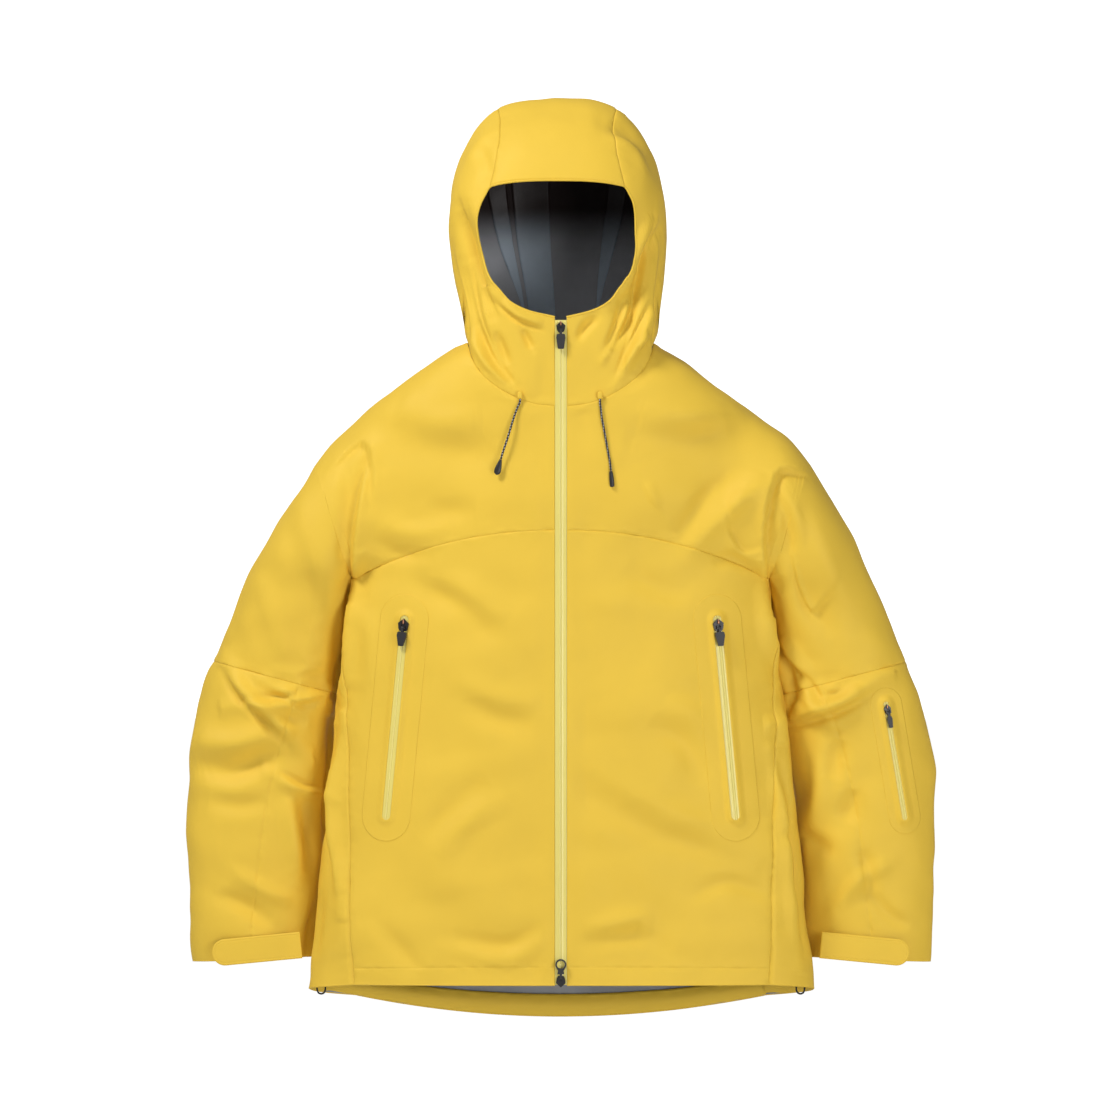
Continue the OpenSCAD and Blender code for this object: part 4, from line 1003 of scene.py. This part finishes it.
for side, sign in SIDES.items():
    cloth_piece(f"front_{side}", body, [f"front_{side}"], [f"front_panel_{side}"])
    cloth_piece(f"flank_{side}", body, [f"side_front_{side}", f"side_back_{side}"], [f"side_panel_{side}"])
    start = (sign * 0.300, -0.042, -0.235)
    end = (sign * 0.353, -0.042, -0.308)
    cloth_piece(f"yoke_and_sleeve_{side}", body,
                [f"yoke_front_{side}", f"yoke_back_{side}", f"upper_front_{side}", f"upper_back_{side}"],
                [f"front_yoke_{side}", f"sleeve_cap_{side}", f"upper_sleeve_{side}", "back_yoke"],
                blend=("root", f"sleeve_{side}", start, end))
    cloth_piece(f"forearm_{side}", body, [f"forearm_front_{side}", f"forearm_back_{side}"],
                [f"forearm_outer_{side}", f"forearm_inner_{side}"], f"sleeve_{side}")
    cloth_piece(f"hood_{side}", hood, [f"side_{side}"], [f"hood_side_{side}"], lining="hood_lining")
    cuff_front = body.grid(f"forearm_front_{side}", EDGE_INSET)[-1]
    cuff_back = body.grid(f"forearm_back_{side}", EDGE_INSET)[-1]
    cuff = np.concatenate([cuff_front, cuff_back[::-1][1:-1]])
    bead(f"cuff_edge_{side}", cuff, 1.1, "shell_fabric", f"sleeve_{side}", closed=True)
cloth_piece("back", body, ["back_left", "back_right"], ["back_panel"])
cloth_piece("hood_centre", hood, ["centre"], ["hood_centre_panel", "hood_brim"], lining="hood_lining")

opening = np.concatenate([hood.grid("side_left", 0.7)[:first + 1, -1], hood.grid("centre", 0.7)[0, 1:-1],
                          hood.grid("side_right", 0.7)[:first + 1, -1][::-1]])
bead("hood_edge", opening, 1.4, "shell_fabric")
half_hem = [body.grid(f"{part}_left", EDGE_INSET)[-1, ::step] for part, step in
            (("front", 1), ("side_front", 1), ("side_back", -1), ("back", -1))]
other_hem = [body.grid(f"{part}_right", EDGE_INSET)[-1, ::step] for part, step in
             (("back", 1), ("side_back", 1), ("side_front", -1), ("front", -1))]
hem_line = np.concatenate([half_hem[0]] + [h[1:] for h in half_hem[1:] + other_hem])
bead("hem_edge", hem_line, 1.2, "shell_fabric")

FACING_HEIGHT = 24.0
row_height = (1 - spaced(ROWS, YOKE_TO_HEM, (YOKE_TO_HEM - HEM_STITCH,))) * YOKE_TO_HEM
facing_rows = np.flatnonzero(row_height <= FACING_HEIGHT)
channel = 6.0 * np.sin(3.1 * row_height[facing_rows] / FACING_HEIGHT).clip(0)[:, None]


def hem_channel(part):
    """The inside of the hem, which stands off to make room for its cord."""
    outer = body.grid(part)[facing_rows]
    inward = (body.grid(part, 1.0)[facing_rows] - outer).mean(0)
    inward /= np.linalg.norm(inward, axis=1, keepdims=True)
    by_the_lock = smooth((abs(outer[..., 0]) - 262) / 20)
    return outer + inward[None] * (2.4 + channel * (1 - 0.5 * by_the_lock))[..., None]


facing = [(hem_channel(f"{part}_{side}"), not body.flip[f"{part}_{side}"])
          for part in ("front", "side_front", "side_back", "back") for side in SIDES]
points, faces = weld_grids(facing)
new_mesh("hem_facing", points, faces, "shell_fabric", "root", LINING)

TAPE_INSET, TAPE_HALF = 1.9, 15
rows_in = np.flatnonzero((strip_angles > 130) & (strip_angles < 253))
wide_tape = hood.under("centre", TAPE_INSET)[rows_in][:, (across < -0.12) & (across > -0.95)]
grid_piece("hood_tape_wide", wide_tape, "hood_tape", (0, -1, 0), LINING)
narrow_rows = np.flatnonzero(high_angle_at(u) > 125)
narrow_columns = np.flatnonzero((1 - spaced(HOOD_ROWS, HOOD_SIDE_WIDTH)) * HOOD_SIDE_WIDTH < TAPE_HALF)
for side in SIDES:
    narrow = hood.under(f"side_{side}", TAPE_INSET)[narrow_rows][:, narrow_columns]
    grid_piece(f"hood_tape_{side}", narrow, "hood_tape", (0, -1, 0), LINING)

# ---------------------------------------------------------------- front zip

ZIP_TOP_Z = 50.0
TAPE_Y = -140.2
across_tape = np.array([0.12, 0.3, 0.7, 1.2, 1.8, 2.6, 3.6, 4.8, 5.8, 6.5, 7.0])
tape_z = np.linspace(FRONT_HEM_Z, ZIP_TOP_Z, 260)


def tape_rise(x):
    """How far the face of a coated zip stands out at x from its centre."""
    return 0.45 * np.exp(-((abs(x) - 1.3) / 0.9) ** 2) - 0.2 * np.exp(-((abs(x) - 3.0) / 0.5) ** 2)


for side, sign in SIDES.items():
    x, z = np.meshgrid(across_tape, tape_z)
    tape = np.stack([sign * x, TAPE_Y - tape_rise(x), z], -1)
    grid_piece(f"front_zip_{side}", tape, "zip_tape", (0, -1, 0), 0.8, replaces=[f"front_zip_tape_{side}"])


def front_sheet(name, x0, x1, z0, z1, inset, finish, count, **more):
    x, z = np.meshgrid(np.linspace(x0, x1, count), np.linspace(z0, z1, 60))
    y = middle(z) - torso_half(x, z) + inset
    grid_piece(name, np.stack([x, y, z], -1), finish, (0, -1, 0), 0.8, **more)


front_sheet("zip_flap", -22, 22, FRONT_HEM_Z + 12, ZIP_TOP_Z - 12, 5.6, "shell_lining", 16,
            replaces=["storm_flap"])
BAG_X, BAG_Z, BAG_INSET = (96, 232), (-640, -284), 9.5
for side, sign in SIDES.items():
    front_sheet(f"pocket_lining_{side}", sign * BAG_X[0], sign * BAG_X[1], *BAG_Z, BAG_INSET, "pocket_mesh",
                40, replaces=[f"pocket_bag_{side}"])

# ---------------------------------------------------------------- pocket zips

# The pocket zips are placed on the CAD model's plainer skin, because its sliders run along them.
CAD_WIDTHS = ((-785, 307), (-748, 307), (-646, 296), (-526, 283), (-406, 269), (-262, 252))
FOREARM = [(z0, x0, x1, z1, d) for _, x0, z0, x1, z1, d, _ in RUNGS if z0 <= -401]


def cad_front(x, z):
    """A point of the CAD model's front."""
    wide = np.interp(z, *np.array(CAD_WIDTHS).T)
    return np.array([x, -45 - 95 * bulge(x / wide), z])


def cad_forearm(x, z):
    """A point of the front of the CAD model's left forearm."""
    rows = np.array(sorted(FOREARM), float)
    inner = np.interp(z, rows[:, 0], rows[:, 1])
    order = np.argsort(rows[:, 3])
    outer = np.interp(z, rows[order, 3], rows[order, 2])
    level = (rows[:, 0] + rows[:, 3]) / 2
    deep = np.interp(z, *np.array(sorted(zip(level, rows[:, 4]))).T)
    return np.array([x, -5 - deep * bulge((x - (inner + outer) / 2) / ((outer - inner) / 2)), z])


class ZipPlace:
    """Where a pocket's zip lies: its own frame has the zip along z and the inside of the cloth along y."""

    def __init__(self, skin, ends, lift, middle_x):
        top, bottom = skin(*ends[0]), skin(*ends[1])
        self.length = np.linalg.norm(top - bottom)
        self.along = unit(top - bottom)
        self.centre = (top + bottom) / 2 - np.array([0, lift, 0])
        level = (ends[0][1] + ends[1][1]) // 2
        run = skin(middle_x + 10, level) - skin(middle_x - 10, level)
        self.across = unit(run - self.along * (run @ self.along))
        self.inward = np.cross(self.along, self.across)

    def at(self, x, y, z, sign=1):
        p = self.centre + np.multiply.outer(x, self.across) + np.multiply.outer(y, self.inward)
        return (p + np.multiply.outer(z, self.along)) * np.array([sign, 1, 1])


pocket_place = ZipPlace(cad_front, POCKET_ENDS, 1.6, 198)
sleeve_place = ZipPlace(cad_forearm, SLEEVE_ZIP_ENDS, 2.6, 403)


def pocket_tape(name, place, width, sign, ride_on, replaces):
    """A coated zip with round ends."""
    half, straight = width / 2, (place.length - width) / 2
    end = np.sin(np.linspace(0, np.pi / 2, 14)) * half
    z = np.concatenate([-(straight + end[:0:-1]), np.linspace(-straight, straight, 120), straight + end[1:]])
    over = np.maximum(abs(z) - straight, 0)
    room = np.sqrt(np.maximum(half**2 - over**2, 0.02))
    half_v = np.array([0.05, 0.12, 0.2, 0.3, 0.45, 0.62, 0.8, 0.93, 1])
    v = np.concatenate([-half_v[::-1], [0], half_v])
    x = room[:, None] * v[None, :]
    rise = 1.0 + tape_rise(x) - 0.5 * np.exp(-(x / 0.3) ** 2) - 0.35 * (abs(v) > 0.98)
    grid = place.at(x, -rise, z[:, None] + 0 * x, sign)
    grid_piece(name, grid, "zip_tape", (0, -1, 0), 0.8, ride_on=ride_on, replaces=replaces)


def welt(name, place, width, reach, sign, ride_on, skin):
    """The laminated patch round a pocket's zip: it rises to the tape and ends in a step on the panel."""
    straight = (place.length - width) / 2
    turn = np.linspace(0, 2 * np.pi, 49)
    corner = np.stack([np.sin(turn), np.cos(turn)], -1)
    shift = np.where(np.cos(turn) >= 0, straight, -straight)
    run = np.linspace(straight, -straight, 60)[1:-1]
    down = np.stack([np.ones_like(run), np.zeros_like(run)], -1)
    first_half, last_half = turn <= np.pi / 2, turn >= 1.5 * np.pi
    middle_half = (turn >= np.pi / 2) & (turn <= 1.5 * np.pi)
    aim = np.concatenate([corner[first_half], down, corner[middle_half], -down[::-1], corner[last_half]])
    level = np.concatenate([np.full(first_half.sum(), straight), run, np.full(middle_half.sum(), -straight),
                            run[::-1], np.full(last_half.sum(), straight)])
    offset = np.concatenate([[-0.7, -0.2, 0.4, 1.2, 2.4, 4.0, 6.0], np.linspace(8, reach - 1, 10), [reach]])
    away = width / 2 + offset
    x = away[:, None] * aim[None, :, 0]
    z = level[None, :] + away[:, None] * aim[None, :, 1]
    flat = place.at(x, -1.62 + 0 * x, z)
    normal = -place.inward + 0 * flat
    skin_y = skin(flat[..., 0], flat[..., 2])
    onto = flat.copy()
    onto[..., 1] = skin_y
    mirrored = onto.reshape(-1, 3) * np.array([sign, 1, 1])
    facing_out = normal.reshape(-1, 3) * np.array([sign, 1, 1])
    relief = body_relief(mirrored, facing_out, np.full(len(mirrored), FAR)).reshape(x.shape)
    onto[..., 1] -= relief + 0.4
    weight = smooth(1 - offset / 8)[:, None, None]
    grid = mix(onto, np.where(flat[..., 1:2] < onto[..., 1:2], flat, onto), weight) * np.array([sign, 1, 1])
    grid_piece(name, grid, "shell_fabric", (0, -1, 0), 0.9, ride_on=ride_on)


def body_skin(x, z):
    return middle(z) - torso_half(x, z)


def forearm_skin(x, z):
    """Front of the forearm, found along nearly level lines across it."""
    t = np.interp(-z, *np.array([(-(r[2] + r[4]) / 2, r[0]) for r in RUNGS]).T)
    for _ in range(4):
        g = rung_at(t)
        share = np.clip((x - g[..., 0]) / (g[..., 2] - g[..., 0]), 0, 1)
        t = np.clip(t + (mix(g[..., 1], g[..., 3], share) - z) / 520, 0, 1)
    return g[..., 5] - g[..., 4] * np.maximum(1 - abs(2 * share - 1) ** ROUND, 0) ** (1 / ROUND)


for side, sign in SIDES.items():
    pocket_tape(f"pocket_tape_{side}", pocket_place, 12, sign, "root", [f"pocket_zip_{side}"])
    welt(f"pocket_welt_{side}", pocket_place, 12, 25, sign, "root", body_skin)
pocket_tape("sleeve_tape", sleeve_place, 8, 1, "sleeve_left", ["sleeve_zip"])
welt("sleeve_welt", sleeve_place, 8, 16, 1, "sleeve_left", forearm_skin)
x, z = np.meshgrid(np.linspace(-34, 18, 20), np.linspace(-88, 72, 40))
grid_piece("sleeve_pocket_lining", sleeve_place.at(x, 13.1 + 0 * x, z), "pocket_mesh", (0, -1, 0), 0.8,
           ride_on="sleeve_left", replaces=["sleeve_pocket_bag"])

# ---------------------------------------------------------------- cuff tabs

TAB_ROOT = np.array([313, -51.5, -702])
TAB_TILT = math.radians(5.5)
TAB_LENGTH, TAB_HALF = 108.0, 16.0
for side, sign in SIDES.items():
    along = np.concatenate([[0, 0.5, 1.2, 2.4], np.linspace(4, TAB_LENGTH - TAB_HALF, 60)[:-1],
                            TAB_LENGTH - TAB_HALF + TAB_HALF * np.sin(np.linspace(0, np.pi / 2, 26))])
    over = np.maximum(along - (TAB_LENGTH - TAB_HALF), 0)
    room = np.sqrt(np.maximum(TAB_HALF**2 - over**2, 0.04))
    v = np.sin(np.linspace(-np.pi / 2, np.pi / 2, 45))
    height = room[:, None] * v[None, :]
    x = along[:, None] + 0 * height
    inner_edge = np.minimum(TAB_HALF - np.hypot(height, over[:, None]), x)
    out = 1.9 - 0.8 * np.exp(-((inner_edge / 0.8) ** 2)) - 0.35 * np.exp(-(((inner_edge - 3.0) / 0.6) ** 2))
    tab = TAB_ROOT + np.stack([x * math.cos(TAB_TILT) + height * math.sin(TAB_TILT), -out,
                               height * math.cos(TAB_TILT) - x * math.sin(TAB_TILT)], -1)
    grid_piece(f"cuff_strap_{side}", tab * np.array([sign, 1, 1]), "shell_fabric", (0, -1, 0), 1.0,
               ride_on=f"cuff_tab_{side}", replaces=[f"cuff_tab_{side}"])

# ---------------------------------------------------------------- hem cord and hanger

HEM_CORD_INSET = 3.2


def hem_cord_line(face):
    """The middle of the hem's channel, from side to side, on the front or the back."""
    row = int(np.abs(row_height - 0.45 * FACING_HEIGHT).argmin())
    right, left = (np.concatenate([body.grid(f"{face}_{side}", HEM_CORD_INSET)[row],
                                   body.grid(f"side_{face}_{side}", HEM_CORD_INSET)[row, 1:]])
                   for side in ("right", "left"))
    return np.concatenate([right[::-1][1:], left[0 if face == "front" else 1:]])


front_cord = hem_cord_line("front")
right_half = front_cord[front_cord[:, 0] < -12]
left_half = front_cord[front_cord[:, 0] > 12]
back_cord = hem_cord_line("back")
cord_line = np.concatenate([right_half[::-1], back_cord, left_half[::-1]])
bead("hem_cord", cord_line[::3], 1.0, "elastic_black", sides=10, replaces=["hem_cord"])
ring = np.radians(np.linspace(0, 360, 61)[:-1])
hanger = np.stack([29.5 * np.sign(np.cos(ring)) * abs(np.cos(ring)) ** 0.5, -4.4 + 0 * ring,
                   -1 + 5.4 * np.sign(np.sin(ring)) * abs(np.sin(ring)) ** 0.5], -1)
bead("hanger", hanger, 1.3, "webbing_black", closed=True, replaces=["hanger_loop"])

# ---------------------------------------------------------------- hard parts kept from the CAD model

FINISHES = {"front_slider": "slider_black", "pocket_slider": "slider_black", "sleeve_slider": "slider_black",
            "front_pull": "pull_black", "pocket_pull": "pull_black", "sleeve_pull": "pull_black",
            "hem_lock": "lock_black", "hem_button": "lock_black", "front_zip_coil": "zip_plastic",
            "front_zip_stops": "zip_plastic", "cuff_hook_patch": "hook_tape", "cuff_loop_patch": "hook_tape"}
for name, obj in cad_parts.items():
    for start, finish in FINISHES.items():
        if name.startswith(start):
            obj.data.materials.clear()
            obj.data.materials.append(MATERIALS[finish])
            if "slider" in name or "pull" in name or "lock" in name or "button" in name:
                edge = obj.modifiers.new("worn edges", "BEVEL")
                edge.width = 0.3 * MM
                edge.segments = 2
                edge.angle_limit = math.radians(35)

pebble("copper_top", (0, -143.4, 46.2), (0.9, 0.9, 2.6), 3, "slider_copper", "front_slider_top")
for side, sign in SIDES.items():
    spot = pocket_place.at(0.0, -4.8, pocket_place.length / 2 - 8.2, sign)
    pebble(f"copper_{side}", spot, (1.0, 0.9, 2.8), 3, "slider_copper", f"pocket_slider_{side}")
spot = sleeve_place.at(0.0, -4.6, sleeve_place.length / 2 - 7.2)
pebble("copper_sleeve", spot, (0.7, 0.8, 2.0), 3, "slider_copper", "sleeve_slider")

# ---------------------------------------------------------------- studio

world = bpy.data.worlds.new("studio")
bpy.context.scene.world = world
world.use_nodes = True
tree = world.node_tree
light_path = tree.nodes.new("ShaderNodeLightPath")
strength = tree.nodes.new("ShaderNodeMapRange")
strength.inputs["To Min"].default_value = 0.3
strength.inputs["To Max"].default_value = 1.3
link(tree, light_path.outputs["Is Camera Ray"], strength.inputs["Value"])
link(tree, strength.outputs["Result"], tree.nodes["Background"].inputs["Strength"])
tree.nodes["Background"].inputs["Color"].default_value = (1, 1, 1, 1)
bpy.context.scene.view_settings.view_transform = "Standard"


def area_light(name, place, target, size, power):
    light = bpy.data.objects.new(name, bpy.data.lights.new(name, "AREA"))
    light.data.size = size
    light.data.energy = power
    light.location = place
    light.rotation_euler = (Vector(target) - Vector(place)).to_track_quat("-Z", "Y").to_euler()
    bpy.context.scene.collection.objects.link(light)


area_light("key", (-1.6, -1.5, 2.2), (0, 0, -0.3), 0.7, 72)
area_light("fill", (1.7, -2.9, -0.5), (0, 0, -0.3), 1.2, 40)

paper = bpy.data.materials.new("paper")
paper.use_nodes = True
tree = paper.node_tree
paper_shader = tree.nodes["Principled BSDF"]
paper_shader.inputs["Base Color"].default_value = (0.9, 0.9, 0.9, 1)
paper_shader.inputs["Roughness"].default_value = 0.9
paper_shader.inputs["Specular IOR Level"].default_value = 0
paper_shader.inputs["Emission Color"].default_value = (1, 1, 1, 1)
seen = tree.nodes.new("ShaderNodeLightPath")
glow = tree.nodes.new("ShaderNodeMapRange")
glow.inputs["To Max"].default_value = 0.75
link(tree, seen.outputs["Is Camera Ray"], glow.inputs["Value"])
link(tree, glow.outputs["Result"], paper_shader.inputs["Emission Strength"])
FLOOR_Z, FLOOR_REACH = -1.0, 60.0
corners = [(x * FLOOR_REACH, y * FLOOR_REACH, FLOOR_Z) for x, y in ((-1, -1), (1, -1), (1, 1), (-1, 1))]
floor_mesh = bpy.data.meshes.new("floor")
floor_mesh.from_pydata(corners, [], [(0, 1, 2, 3)])
floor_mesh.materials.append(paper)
floor = bpy.data.objects.new("floor", floor_mesh)
bpy.context.scene.collection.objects.link(floor)
